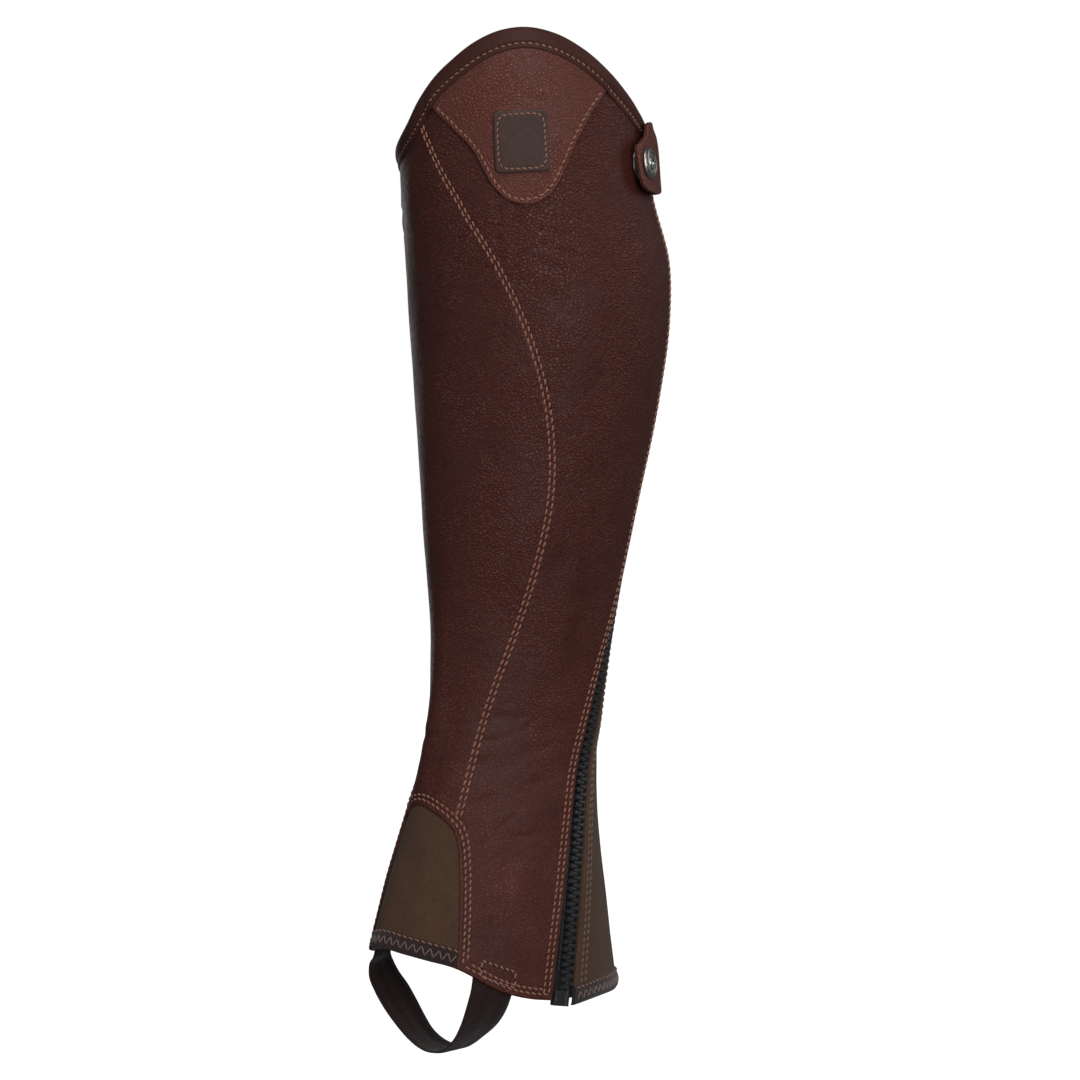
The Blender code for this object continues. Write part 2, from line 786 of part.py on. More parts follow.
def build_slider():
    """Slider with its two wings, neck and bridge, and the pull hung on the bridge."""
    frame = rigid_frame(zip_turn(SLIDER_HEIGHT), SLIDER_HEIGHT, 0.0)
    upper_middle = UPPER_WING_OUT - WING[2] / 2
    lower_middle = LOWER_WING_OUT - WING[2] / 2
    neck_foot = LOWER_WING_OUT - BITE
    neck_top = UPPER_WING_OUT - BITE
    leg_top = UPPER_WING_OUT + BRIDGE_RISE + BRIDGE_BAR / 2
    leg_foot = UPPER_WING_OUT - BITE
    leg_up = -PIVOT_UP + CROSSBAR_RADIUS + GAP + BRIDGE_LEG / 2
    parts = [
        box_part(WING, (0, 0, upper_middle), 0.4),
        box_part(WING, (0, 0, lower_middle), 0.4),
        box_part((*NECK, neck_top - neck_foot), (0, NECK_UP, (neck_top + neck_foot) / 2)),
        box_part((BRIDGE_WIDTH, 2 * leg_up + BRIDGE_LEG, BRIDGE_BAR),
                 (0, 0, UPPER_WING_OUT + BRIDGE_RISE + BRIDGE_BAR / 2)),
    ]
    for side in (-1, 1):
        parts.append(box_part((BRIDGE_WIDTH, BRIDGE_LEG, leg_top - leg_foot),
                              (0, side * leg_up, (leg_top + leg_foot) / 2)))
    join_parts("zip_slider", parts, "dark_metal", frame)

    pivot = frame @ Matrix.Translation((0, PIVOT_UP, UPPER_WING_OUT + PIVOT_RISE))
    pivot = pivot @ Matrix.Rotation(math.radians(PULL_REST), 4, "X")
    arm_middle = PULL_HALF_WIDTH - PULL_ARM / 2
    bar = bmesh.new()
    bmesh.ops.create_cone(bar, cap_ends=True, segments=12, radius1=CROSSBAR_RADIUS, radius2=CROSSBAR_RADIUS,
                          depth=2 * arm_middle, matrix=Matrix.Rotation(math.radians(90), 4, "Y"))
    parts = [bar]
    arm_top = CROSSBAR_RADIUS + ARM_PAST_BAR
    for side in (-1, 1):
        parts.append(box_part((PULL_ARM, PULL_HEAD + arm_top, PULL_THICKNESS + ARM_PROUD),
                              (side * arm_middle, (arm_top - PULL_HEAD) / 2, 0)))
    parts.append(box_part((2 * PULL_HALF_WIDTH, PULL_TIP - PULL_HEAD + BITE, PULL_THICKNESS),
                          (0, (BITE - PULL_TIP - PULL_HEAD) / 2, 0), 0.3))
    join_parts("zip_pull", parts, "dark_metal", pivot)


def build_snap_tab():
    """Leather tab from the rear panel over the slider, with the cap, socket and stud of its snap."""
    low = curve(SNAP_TAB, "low")
    high = curve(SNAP_TAB, "high")
    rise = curve(SNAP_TAB, "out")
    share = curve(SNAP_TAB, "bow")
    lift = curve(TAB_BOW, "lift")

    def tab_face(turn, height):
        return rise(turn) + share(turn) * lift(height) + TAB_THICKNESS

    first = SNAP_TAB[0].turn
    last = SNAP_TAB[-1].turn
    across = [0.0, 0.01, 0.04] + [mix(0.04, 1.0, s) for s in even(17)[1:]]
    grid = spread(lambda height: first, lambda height: last, rows_between(low, high, even(4)), across)
    wall("snap_tab", grid, tab_face, TAB_THICKNESS, "overlay_leather")

    fall = tab_face(SNAP_TURN - 3, SNAP_HEIGHT) - tab_face(SNAP_TURN + 3, SNAP_HEIGHT)
    slope = math.atan(fall / (6 * arc(SNAP_TURN, SNAP_HEIGHT)))
    seat = rigid_frame(SNAP_TURN, SNAP_HEIGHT, tab_face(SNAP_TURN, SNAP_HEIGHT) + GAP)
    add_object("snap_cap", turned_part(CAP_PROFILE), "old_silver", seat @ Matrix.Rotation(slope, 4, "Y"))
    add_object("snap_socket", turned_part(SOCKET_PROFILE), "old_silver",
               rigid_frame(SNAP_TURN, SNAP_HEIGHT, GAP))
    add_object("snap_stud", turned_part(STUD_PROFILE), "old_silver",
               rigid_frame(SNAP_TURN, SNAP_HEIGHT, GAP))


def strap_sections():
    """Points across the strap on its outer and inner face, from the outer hem under to the inner one."""
    half = STRAP_WIDTH / 2
    places = [mix(-half, half, share) for share in even(4)]

    def sewn(row):
        per_degree = arc(row.turn, row.height)
        side = math.copysign(1.0, row.turn)
        turns = [row.turn + side * place / per_degree for place in places]
        outer = [leg_point(turn, row.height, row.out) for turn in turns]
        inner = [leg_point(turn, row.height, row.out - STRAP_THICKNESS) for turn in turns]
        return outer, inner

    middles = [Vector((row.x, row.y, row.height)) for row in STRAP_RUN]
    free = []
    for k, row in enumerate(STRAP_RUN):
        along = middles[min(k + 1, len(middles) - 1)] - middles[max(k - 1, 0)]
        yaw = math.radians(row.yaw)
        back = Vector((math.sin(yaw), math.cos(yaw), 0.0))
        outward = along.cross(back).normalized() * STRAP_THICKNESS / 2
        outer = [(middles[k] + back * place + outward) * MM for place in places]
        inner = [(middles[k] + back * place - outward) * MM for place in places]
        free.append((outer, inner))
    return [sewn(row) for row in STRAP_OUTER_END] + free + [sewn(row) for row in STRAP_INNER_END]


def build_strap():
    """Elastic stirrup strap hung from the two hems."""
    sections = strap_sections()
    mesh_data = bmesh.new()
    front = [[mesh_data.verts.new(point) for point in outer] for outer, inner in sections]
    back = [[mesh_data.verts.new(point) for point in inner] for outer, inner in sections]
    close_grid(mesh_data, front, back)
    bmesh.ops.recalc_face_normals(mesh_data, faces=mesh_data.faces)
    add_object("stirrup_strap", mesh_data, "strap_elastic")


def main():
    for item in list(bpy.data.objects):
        bpy.data.objects.remove(item)
    build_leather_panels()
    build_stretch_panels()
    build_shield_and_badge()
    build_binding()
    build_zip()
    build_slider()
    build_snap_tab()
    build_strap()


main()
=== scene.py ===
# %% [markdown]
# A half chap is a leather sleeve for a rider's lower leg. This one is shown filled out as on a leg,
# with nobody in it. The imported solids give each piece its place; this lesson dresses them with grained
# leather, knitted stretch cloth, sewing, zip teeth and snaps. The first cell loads the solids as a
# fixed frame, so every piece made here is placed where the solids already are.

# %% Load the frame
import math

import bmesh
import bpy
import numpy as np
from mathutils import Matrix, Vector


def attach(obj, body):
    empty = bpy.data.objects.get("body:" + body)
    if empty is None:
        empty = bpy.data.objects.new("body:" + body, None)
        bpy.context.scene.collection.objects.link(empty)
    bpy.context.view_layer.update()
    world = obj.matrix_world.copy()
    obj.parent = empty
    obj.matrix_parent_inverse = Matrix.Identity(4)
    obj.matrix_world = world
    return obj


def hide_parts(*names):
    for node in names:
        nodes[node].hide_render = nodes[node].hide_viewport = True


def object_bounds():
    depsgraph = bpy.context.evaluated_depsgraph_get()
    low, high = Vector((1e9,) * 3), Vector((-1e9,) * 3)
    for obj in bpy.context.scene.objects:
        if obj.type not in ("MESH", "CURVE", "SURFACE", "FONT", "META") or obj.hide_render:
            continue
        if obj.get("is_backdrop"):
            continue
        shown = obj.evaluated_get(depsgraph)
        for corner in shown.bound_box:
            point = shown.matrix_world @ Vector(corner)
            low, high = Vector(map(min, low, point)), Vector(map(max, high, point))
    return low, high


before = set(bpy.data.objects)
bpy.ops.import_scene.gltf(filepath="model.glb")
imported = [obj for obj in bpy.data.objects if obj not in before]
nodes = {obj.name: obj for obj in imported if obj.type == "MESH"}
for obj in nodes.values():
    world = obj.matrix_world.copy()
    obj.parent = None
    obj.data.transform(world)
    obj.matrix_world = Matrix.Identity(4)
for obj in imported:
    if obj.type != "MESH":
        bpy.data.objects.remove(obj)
cad_low, cad_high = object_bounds()
MM = 0.001
print("solids in the frame:", len(nodes))
print("overall size in mm:", [round(side * 1000, 1) for side in cad_high - cad_low])

# %% [markdown]
# A place on the leg is told as a maker would tell it: how far round (a turn in degrees, 0 at the shin
# and 90 on the outer side), how high in millimetres, and how far out from the leather's face. Each
# line of the pattern is a short table with a smooth curve through it. The alternative is to read the
# lines from the solids' meshes, but then a row of stitches couldn't be set 2.4 mm from an edge.

# %% Smooth curves through tables
def curve(table, column=1):
    """Smooth curve through a table's column, read at the values of its first column."""
    rows = np.array(sorted(table), float)
    places, values = rows[:, 0], rows[:, column]
    steps = np.diff(values) / np.diff(places)
    before, after = np.diff(places)[:-1], np.diff(places)[1:]
    middle = (steps[:-1] * after + steps[1:] * before) / (before + after)
    slopes = np.concatenate((steps[:1], middle, steps[-1:]))

    def read(at):
        at = np.clip(at, places[0], places[-1])
        k = np.clip(np.searchsorted(places, at, side="right") - 1, 0, len(places) - 2)
        span = places[k + 1] - places[k]
        t = (at - places[k]) / span
        rise = (3 - 2 * t) * t * t
        pull = t * (1 - t) ** 2 * slopes[k] * span + t * t * (t - 1) * slopes[k + 1] * span
        return values[k] * (1 - rise) + values[k + 1] * rise + pull

    return read


# Columns: height, shin, calf, half width, narrowing towards the shin
FORM = (
    (125, -67.5, 40.4, 49.3, 0.00), (67, -66.5, 44.4, 52.1, 0.00), (40, -64.8, 49.5, 53.9, 0.00),
    (13, -62.1, 57.8, 56.3, 0.00), (-13, -60.1, 58.4, 55.8, 0.00), (-50, -58.5, 53.4, 52.3, 0.04),
    (-103, -57.2, 41.8, 45.3, 0.10), (-157, -56.0, 31.3, 38.8, 0.20), (-193, -59.5, 27.2, 36.3, 0.26),
    (-211, -63.0, 24.8, 35.9, 0.22), (-230, -69.3, 24.8, 37.7, 0.16), (-266, -82.5, 28.6, 41.7, 0.15),
    (-293, -91.0, 32.4, 43.6, 0.16), (-325, -99.0, 37.9, 45.3, 0.16),
)
shin_line, calf_line, half_width, narrowing = (curve(FORM, column) for column in (1, 2, 3, 4))

# Lines down the leg. Columns: height, turn
zip_turn = curve((
    (90, 146.0), (-60, 146.0), (-110, 145.5), (-140, 141.5), (-165, 131.5), (-190, 123.5),
    (-215, 117.0), (-240, 111.8), (-265, 107.4), (-290, 103.8), (-325, 98.8)))
front_seam = curve((
    (92, -8.0), (76, 0.0), (49, 16.0), (17, 34.5), (-18, 49.5), (-54, 61.5), (-98, 67.2), (-122, 64.0),
    (-147, 57.5), (-176, 47.5), (-205, 39.8), (-237, 35.0)))
inner_seam = curve((
    (80, -50.0), (20, -58.0), (-54, -66.0), (-110, -67.0), (-147, -61.0), (-176, -51.5),
    (-200, -41.5), (-218, -32.0), (-230, -24.5), (-237, -19.2)))
rear_seam = curve(((80, -166.0), (-100, -163.0), (-190, -168.0), (-240, -178.0), (-325, -194.0)))
arch_leg = curve((
    (-237, 35.0), (-241, 38.2), (-248, 41.4), (-256, 44.0), (-270, 47.1), (-286, 49.6), (-300, 50.8)))
inner_arch_leg = curve((
    (-237, -19.2), (-244, -20.2), (-256, -22.4), (-270, -24.6), (-286, -26.2), (-300, -27.0)))

# Lines round the leg. Columns: turn, height
top_edge = curve((
    (-216, 71.0), (-195, 68.0), (-175, 60.5), (-150, 54.5), (-120, 52.0), (-90, 53.5), (-60, 58.5),
    (-38, 64.0), (-22, 69.0), (-10, 76.0), (0, 85.5), (9, 93.5), (21, 102.0), (33, 109.5), (45, 114.5),
    (59, 116.4), (73, 113.9), (88, 107.2), (109, 93.7), (123, 84.6), (138, 76.5), (150, 71.0)))
arch_top = curve((
    (-19.2, -237.0), (-17.5, -233.0), (-14, -229.6), (-8, -227.5), (0, -226.6), (12, -228.0),
    (20, -230.0), (28, -233.0), (35, -237.0)))
hem = curve((
    (-200, -314.6), (-160, -314.6), (-130, -313.6), (-112, -311.6), (-100, -309.0), (-90, -305.8),
    (-80, -302.2), (-70, -299.0), (-60, -296.6), (-50, -295.2), (-38, -294.0), (-26, -291.8),
    (-13, -289.8), (0, -288.5), (19, -290.0), (35, -292.6), (51, -296.6), (60, -301.0), (68, -305.5),
    (76, -309.2), (84, -311.6), (95, -313.4), (120, -315.0)))
rear_hem = curve(((-256, -316.9), (-246, -316.0), (-237, -315.5), (-220, -315.5), (-190, -315.6)))
shield_edge = curve((
    (9.2, 82.0), (21.5, 72.4), (33.1, 60.3), (39.2, 48.0), (45.7, 41.4), (53.2, 39.5), (61.5, 41.6),
    (67.5, 46.5), (72.5, 54.0), (79.7, 65.9), (88.0, 77.2), (98.5, 87.7)))
JOIN = -237.0
print("calf round its widest level, mm:", round(math.pi * (60.0 + 56.3)), "or so")

# %% [markdown]
# The leather of a worn half chap isn't a clean surface of revolution: it bends at the ankle, dips
# below the shield and ripples a little everywhere. Simulated cloth would crumple it too much, so each
# crease is placed one by one as a soft uneven trough or ridge. All layers share the same field, so the
# shield, the badge and the sewing follow the panel below them.

# %% Places on the leg
def form_point(turn, height):
    """Points of the leather's face without creases, in millimetres."""
    angle = np.radians(turn)
    front, back = shin_line(height), calf_line(height)
    taper = 1 - narrowing(height) * (1 + np.cos(angle)) / 2
    from_zip = (turn - zip_turn(height) + 180) % 360 - 180
    ridge = 1.2 * np.exp(-(from_zip / 14.0) ** 2)
    x = (half_width(height) * taper + ridge) * np.sin(angle)
    y = (front + back) / 2 - ((back - front) / 2 + ridge) * np.cos(angle)
    return np.stack(np.broadcast_arrays(x, y, height), -1)


def unit(vectors):
    return vectors / np.linalg.norm(vectors, axis=-1, keepdims=True)


def form_axes(turn, height):
    """Unit vectors across, up and out at places on the leg."""
    across = form_point(turn + 0.5, height) - form_point(turn - 0.5, height)
    up = form_point(turn, height + 0.5) - form_point(turn, height - 0.5)
    out = unit(np.cross(across, up))
    across = unit(across)
    return across, np.cross(out, across), out


def arc(turn, height):
    """Millimetres round the leg for each degree."""
    return np.linalg.norm(form_point(turn + 0.5, height) - form_point(turn - 0.5, height), axis=-1)


def beside(line, distance, whole_turns=0):
    """A line down the leg moved round it by a distance in millimetres."""
    def moved(height):
        turn = line(height) + 360 * whole_turns
        return turn + distance / arc(turn, height)
    return moved


# Columns: turn, height, lean from level, half length, half width, depth (minus for a ridge), bend
CREASES = (
    (-4, -188, 84, 42, 7.0, -1.1, 3.0), (12, -196, 78, 26, 6.0, 0.7, 2.0),
    (30, -214, 24, 20, 4.5, 0.4, -2.0), (60, -206, 10, 24, 4.5, 0.35, 2.5),
    (82, -192, -8, 26, 5.0, 0.35, 3.0), (98, -214, 14, 20, 4.5, 0.35, -2.0),
    (74, -232, 6, 22, 5.0, -0.4, 2.0), (88, -258, 62, 24, 6.0, 0.4, 2.0),
    (66, -270, 80, 22, 6.0, 0.45, 1.5), (70, 24, -62, 26, 7.5, 0.3, 3.0),
    (92, 34, -76, 34, 8.0, 0.4, -3.0), (108, 8, -84, 40, 9.0, -0.3, 3.0),
    (20, 40, 58, 24, 7.0, 0.6, 2.0), (44, -24, 60, 36, 8.0, 0.5, 3.0),
    (10, -70, 82, 44, 9.0, 0.5, 3.0), (86, -98, 70, 38, 8.0, 0.5, -3.0),
    (100, -150, 74, 30, 7.0, 0.6, 2.0), (-30, 30, 84, 30, 8.0, 0.6, 3.0),
    (-90, 20, -70, 36, 9.0, 0.8, 3.0), (-120, -30, 80, 44, 10.0, 0.6, -4.0),
    (-96, -206, 8, 28, 5.0, 0.9, 2.5), (-128, -190, -12, 26, 5.0, 0.7, 2.0),
    (-70, -222, 18, 22, 4.5, 0.7, -2.0), (-110, -236, 4, 26, 5.0, -0.5, 2.0),
    (-150, -214, 10, 22, 5.0, 0.7, 2.0), (-196, -204, 6, 20, 5.0, 0.6, 2.0),
    (-215, -180, -14, 16, 5.0, 0.5, 2.0), (-150, 10, 84, 36, 9.0, 0.6, 3.0),
    (-190, -60, 82, 44, 9.0, 0.6, 3.0), (-140, -120, 76, 40, 8.0, 0.5, 3.0),
    (12, -262, 86, 20, 6.0, 0.5, 2.0), (-10, -268, 84, 18, 5.0, -0.4, 2.0),
    (-218, -270, 84, 26, 6.0, 0.5, 2.0),
)
ZIP_CALM = 20.0
# Ripples. Columns: height, waves round the leg, millimetres of lean, millimetres of swell, start
RIPPLES = ((0.12, 9, 17, 23, 1.3), (0.07, 17, -9, 11, 0.0))

# Finer wrinkles in crowds. Columns: turn, height, half spread in degrees and mm, lean, count
WRINKLES = (
    (46, 28, 12, 9, 24, 9), (30, 22, 8, 16, 40, 6), (88, 56, 9, 14, 6, 8), (66, 18, 12, 10, -12, 6),
    (62, -206, 20, 20, 6, 16), (60, -246, 9, 14, 30, 6), (88, -225, 12, 28, -8, 10),
    (0, -208, 16, 14, 8, 8),
    (-70, -214, 26, 20, 6, 14), (-120, -210, 30, 22, -4, 14), (-60, 30, 22, 18, 20, 8),
    (-120, 26, 24, 18, -16, 8), (10, 60, 10, 12, 50, 5),
)
rng = np.random.default_rng(11)
fine = []
for at_turn, at_height, spread_turn, spread_height, lean, count in WRINKLES:
    for _ in range(count):
        side, rise, turned, reach, wide, deep, bend = rng.uniform(-1, 1, 7)
        fine.append((at_turn + side * spread_turn, at_height + rise * spread_height, lean + turned * 16,
                     8 + 3 * reach, 1.7 + 0.4 * wide, 0.29 + 0.10 * deep, 1.5 * bend))
ALL_CREASES = CREASES + tuple(fine)


def folds(turn, height):
    """How far creases and ripples move the cloth out, in millimetres; calm beside the zip."""
    turn, height = (np.asarray(values, float) for values in np.broadcast_arrays(turn, height))
    moved = np.zeros(turn.shape)
    per_degree = arc(turn, height)
    for at_turn, at_height, lean, half_length, half, depth, bend in ALL_CREASES:
        round_by = ((turn - at_turn + 180) % 360 - 180) * per_degree
        up_by = height - at_height
        cos, sin = math.cos(math.radians(lean)), math.sin(math.radians(lean))
        along = (round_by * cos + up_by * sin) / half_length
        aside = (up_by * cos - round_by * sin - bend * along ** 2) / half
        uneven = 1 + 0.3 * np.sin(5 * along + at_turn)
        trough = np.exp(-aside ** 2)
        for swell, place in ((0.45, 1.7), (0.25, -1.9)):
            trough = trough - swell * np.exp(-(aside - place) ** 2)
        moved -= depth * uneven * trough * np.exp(-along ** 4)
    angle = np.radians(turn)
    for rise, waves, lean, swell, start in RIPPLES:
        moved += rise * np.sin(waves * angle + height / lean) * np.sin(height / swell + start)
    from_zip = np.abs((turn - zip_turn(height) + 180) % 360 - 180) * per_degree
    return moved * np.clip((from_zip - 6) / ZIP_CALM, 0, 1) ** 1.5


def cloth_point(turn, height, out=0.0):
    """Places on the creased leather, moved out by some millimetres, in metres."""
    turn, height, out = np.broadcast_arrays(turn, height, out)
    normal = form_axes(turn, height)[2]
    return (form_point(turn, height) + normal * (out + folds(turn, height))[..., None]) * MM


print("creases placed by hand:", len(CREASES), "and fine wrinkles:", len(fine))

# %% [markdown]
# Next come the finishes. Colours are noted as the sRGB values that a swatch would show, and one
# function turns them to the linear values that the shader works in. One small function adds a node
# with its settings and links, so that each material reads from top to bottom like a recipe.

# %% Colour and node helpers
def linear(code):
    """Linear colour of an sRGB hex value."""
    parts = [int(code[k:k + 2], 16) / 255 for k in (1, 3, 5)]
    return (*[p / 12.92 if p <= 0.04045 else ((p + 0.055) / 1.055) ** 2.4 for p in parts], 1.0)


def add(tree, kind, inputs=None, **settings):
    """A node with its settings; each input takes a value or another node's output."""
    made = tree.nodes.new(kind)
    for name, value in settings.items():
        setattr(made, name, value)
    for name, value in (inputs or {}).items():
        if isinstance(value, bpy.types.NodeSocket):
            tree.links.new(value, made.inputs[name])
        else:
            made.inputs[name].default_value = value
    return made


def maths(tree, operation, *values):
    """Result of a sum; MULTIPLY_ADD is first x second + third."""
    return add(tree, "ShaderNodeMath", dict(enumerate(values)), operation=operation).outputs[0]


def remap(tree, value, before, after, **settings):
    """A value moved from one range to another."""
    ranges = dict(zip(("From Min", "From Max", "To Min", "To Max"), (*before, *after)))
    return add(tree, "ShaderNodeMapRange", {"Value": value, **ranges}, **settings).outputs[0]


def noise(tree, place, size_mm, detail, roughness=0.5):
    """A soft random pattern whose blots have this size."""
    return add(tree, "ShaderNodeTexNoise", {
        "Vector": place, "Scale": 1000.0 / size_mm, "Detail": detail, "Roughness": roughness}).outputs


def object_place(tree):
    """The place on the object, in metres."""
    return add(tree, "ShaderNodeTexCoord").outputs["Object"]


def cloth_place(tree):
    """The three numbers of a piece's own map, from its attribute cloth."""
    place = add(tree, "ShaderNodeAttribute", attribute_name="cloth").outputs["Vector"]
    return add(tree, "ShaderNodeSeparateXYZ", {0: place}).outputs


def new_material(name, **values):
    """A material with its shader's constant values set on the shader's own sockets."""
    made = bpy.data.materials.new(name)
    made.use_nodes = True
    shader = made.node_tree.nodes["Principled BSDF"]
    for socket, value in values.items():
        shader.inputs[socket.replace("_", " ")].default_value = value
    return made, made.node_tree, shader


def surface(tree, shader, tone, stops, height, strength, relief_mm, gloss=None):
    """Colours by tone, a bump by height and perhaps a gloss, linked to the shader."""
    coloured = add(tree, "ShaderNodeValToRGB", {0: tone})
    elements = coloured.color_ramp.elements
    while len(elements) < len(stops):
        elements.new(0.5)
    for element, (position, colour) in zip(elements, stops):
        element.position = position
        element.color = linear(colour)
    bump = add(tree, "ShaderNodeBump", {"Height": height, "Strength": strength, "Distance": relief_mm * MM})
    tree.links.new(coloured.outputs["Color"], shader.inputs["Base Color"])
    tree.links.new(bump.outputs[0], shader.inputs["Normal"])
    if gloss is not None:
        tree.links.new(gloss, shader.inputs["Roughness"])


print("dark brown leather in linear light:", [round(c, 4) for c in linear("#452723")[:3]])

# %% [markdown]
# The panels are full-grain cowhide, tanned and tumbled so that its grain stands up in small pebbles,
# then dyed a red-brown and waxed. To the eye that gives a dark colour with broad soft highlights
# broken up by the grain. The pebbles' tops are painted paler and redder, partly for wear. The valleys
# between them are darker, partly for pooled dye and partly as painted shade. The grain is a cell
# pattern 1.75 mm wide, with finer pores of 0.5 mm between; both are in the bump as they are too
# shallow for geometry. Towards the foot, where the leather is stretched over its form, the pebbles are
# flatter and the wax is worn more matt.

# %% Leather
FOOT_RANGE = (-0.24, -0.12)
WAX_WORN = 0.26


def leather(name, deep, middle, pale, grain_mm=1.75, relief_mm=0.36, roughness=(0.37, 0.55),
            gloss_level=0.34):
    """Tumbled full-grain leather: pebbles, pores, and valleys darkened partly by pooled dye, partly as
    painted shade.
    """
    made, tree, shader = new_material(name, Specular_IOR_Level=gloss_level)
    place = object_place(tree)
    bent = noise(tree, place, grain_mm * 4, 2.0)["Color"]
    for operation, second in (("MULTIPLY", (grain_mm * MM * 1.6,) * 3), ("ADD", place),
                              ("MULTIPLY", (1.0, 1.0, 1.2))):
        bent = add(tree, "ShaderNodeVectorMath", {0: bent, 1: second}, operation=operation).outputs[0]
    valleys = add(tree, "ShaderNodeTexVoronoi", {"Vector": bent, "Scale": 1000.0 / grain_mm},
                  feature="DISTANCE_TO_EDGE").outputs["Distance"]
    pebbles = remap(tree, valleys, (0.0, 0.26), (0.0, 1.0), interpolation_type="SMOOTHSTEP")
    pores = noise(tree, place, 0.5, 3.0)["Fac"]
    swell = noise(tree, bent, grain_mm * 3.2, 2.0)["Fac"]
    patches = noise(tree, place, 30, 5.0, 0.6)["Fac"]
    up = add(tree, "ShaderNodeSeparateXYZ", {0: place}).outputs[2]
    fullness = remap(tree, up, FOOT_RANGE, (0.42, 1.0))
    depth = maths(tree, "MULTIPLY", remap(tree, patches, (0.42, 0.60), (0.3, 1.1)), fullness)
    height = maths(tree, "MULTIPLY", pebbles, depth)
    for pattern, weight in ((pores, 0.16), (swell, 1.2)):
        height = maths(tree, "MULTIPLY_ADD", pattern, weight, height)
    tone = maths(tree, "MULTIPLY_ADD", patches, 0.42, 0.315)
    # Paler pebble tops and darker valleys: partly wear and pooled dye, partly painted shade in the valleys
    for pattern, weight in ((pebbles, 0.15), (pores, 0.13)):
        tone = maths(tree, "MULTIPLY_ADD", pattern, weight, tone)
    worn_edge = remap(tree, cloth_place(tree)[2], (0.3, 1.8), (0.10, 0.0))
    tone = maths(tree, "ADD", tone, worn_edge)
    gloss = remap(tree, tone, (0.45, 0.95), roughness[::-1])
    gloss = maths(tree, "MULTIPLY_ADD", fullness, -WAX_WORN, gloss)
    gloss = maths(tree, "ADD", gloss, WAX_WORN)
    surface(tree, shader, tone, ((0.42, deep), (0.72, middle), (1.0, pale)), height, 1.0, relief_mm, gloss)
    return made


cowhide = leather("tumbled_cowhide", "#2b100b", "#57281f", "#784436")
shield_hide = leather("shield_cowhide", "#3f1e17", "#743f35", "#925e52", grain_mm=1.6)
roll_hide = leather("binding_calf", "#371e17", "#4f2c24", "#64402f", 0.9, 0.06, (0.5, 0.66), 0.25)
patch_hide = leather("badge_calf", "#35251f", "#54403a", "#6a544c", 0.8, 0.06, (0.55, 0.7), 0.25)
print("leathers:", cowhide.name, shield_hide.name, roll_hide.name, patch_hide.name)

# %% [markdown]
# Cut leather shows its fibres: a paler, hairy edge. Its inside is the flesh side, lined here with a
# thin brushed cloth. Both are matt, and fine noise gives their fibres. Hair strands would be truer
# close up, but at this size they would only cost time.

# %% Raw edge and lining
def brushed(name, deep, pale, size_mm, relief_mm, sheen=0.0):
    """Matt fibres: a cut edge or a brushed cloth."""
    made, tree, shader = new_material(name, Roughness=0.92, Specular_IOR_Level=0.25,
                                      Sheen_Weight=sheen, Sheen_Roughness=0.6)
    fibres = noise(tree, object_place(tree), size_mm, 4.0, 0.65)["Fac"]
    surface(tree, shader, fibres, ((0.3, deep), (0.7, pale)), fibres, 0.7, relief_mm)
    return made


raw_edge = brushed("raw_leather_edge", "#2c1712", "#6a4234", 0.5, 0.15)
lining = brushed("brushed_lining", "#1d1512", "#352720", 1.2, 0.15, sheen=0.3)
print("edge and lining:", raw_edge.name, lining.name)

# %% [markdown]
# The gusset, the rear panel, the tapes and the strap are textiles: nylon knitted or woven over
# elastane. They are matt, with a little sheen from the fibre ends. Their ribs run with the cloth, so
# each piece carries a map of its own in millimetres, across and along the cloth, in an attribute
# called cloth. The real knit has 14 ribs to the centimetre; 9 are drawn, which is as fine as shows.

# %% Textiles
def textile(name, deep, pale, rib_across_mm, rib_along_mm, relief_mm, sheen=0.25):
    """Ribbed cloth: threads across and along, fuzz, faint streaks."""
    made, tree, shader = new_material(
        name, Roughness=0.9, Specular_IOR_Level=0.2, Sheen_Weight=sheen, Sheen_Roughness=0.5)
    place = object_place(tree)
    ribs = [maths(tree, "SINE", maths(tree, "MULTIPLY", part, 2 * math.pi / pitch))
            for part, pitch in zip(cloth_place(tree), (rib_across_mm, rib_along_mm))]
    weave = maths(tree, "ADD", *ribs)
    fuzz = noise(tree, place, 0.7, 3.0)["Fac"]
    streaks = noise(tree, place, 9, 3.0)["Fac"]
    height = maths(tree, "MULTIPLY_ADD", fuzz, 1.6, weave)
    tone = maths(tree, "MULTIPLY_ADD", streaks, 0.18, 0.385)
    for pattern, weight in ((weave, 0.05), (fuzz, 0.45)):
        tone = maths(tree, "MULTIPLY_ADD", pattern, weight, tone)
    surface(tree, shader, tone, ((0.42, deep), (0.95, pale)), height, 0.6, relief_mm)
    return made


stretch_knit = textile("nylon_stretch_knit", "#3c291e", "#6a4f3d", 1.1, 0.8, 0.07, sheen=0.08)
folded_tape = textile("folded_nylon_tape", "#281c1a", "#433432", 1.6, 0.7, 0.10)
ribbed_elastic = textile("ribbed_elastic", "#1a0e0e", "#3b2727", 9.0, 1.25, 0.2, sheen=0.2)
zip_cloth = textile("woven_zip_tape", "#0b0b0d", "#1e1e21", 1.1, 0.9, 0.08)
print("textiles:", stretch_knit.name, folded_tape.name, ribbed_elastic.name, zip_cloth.name)
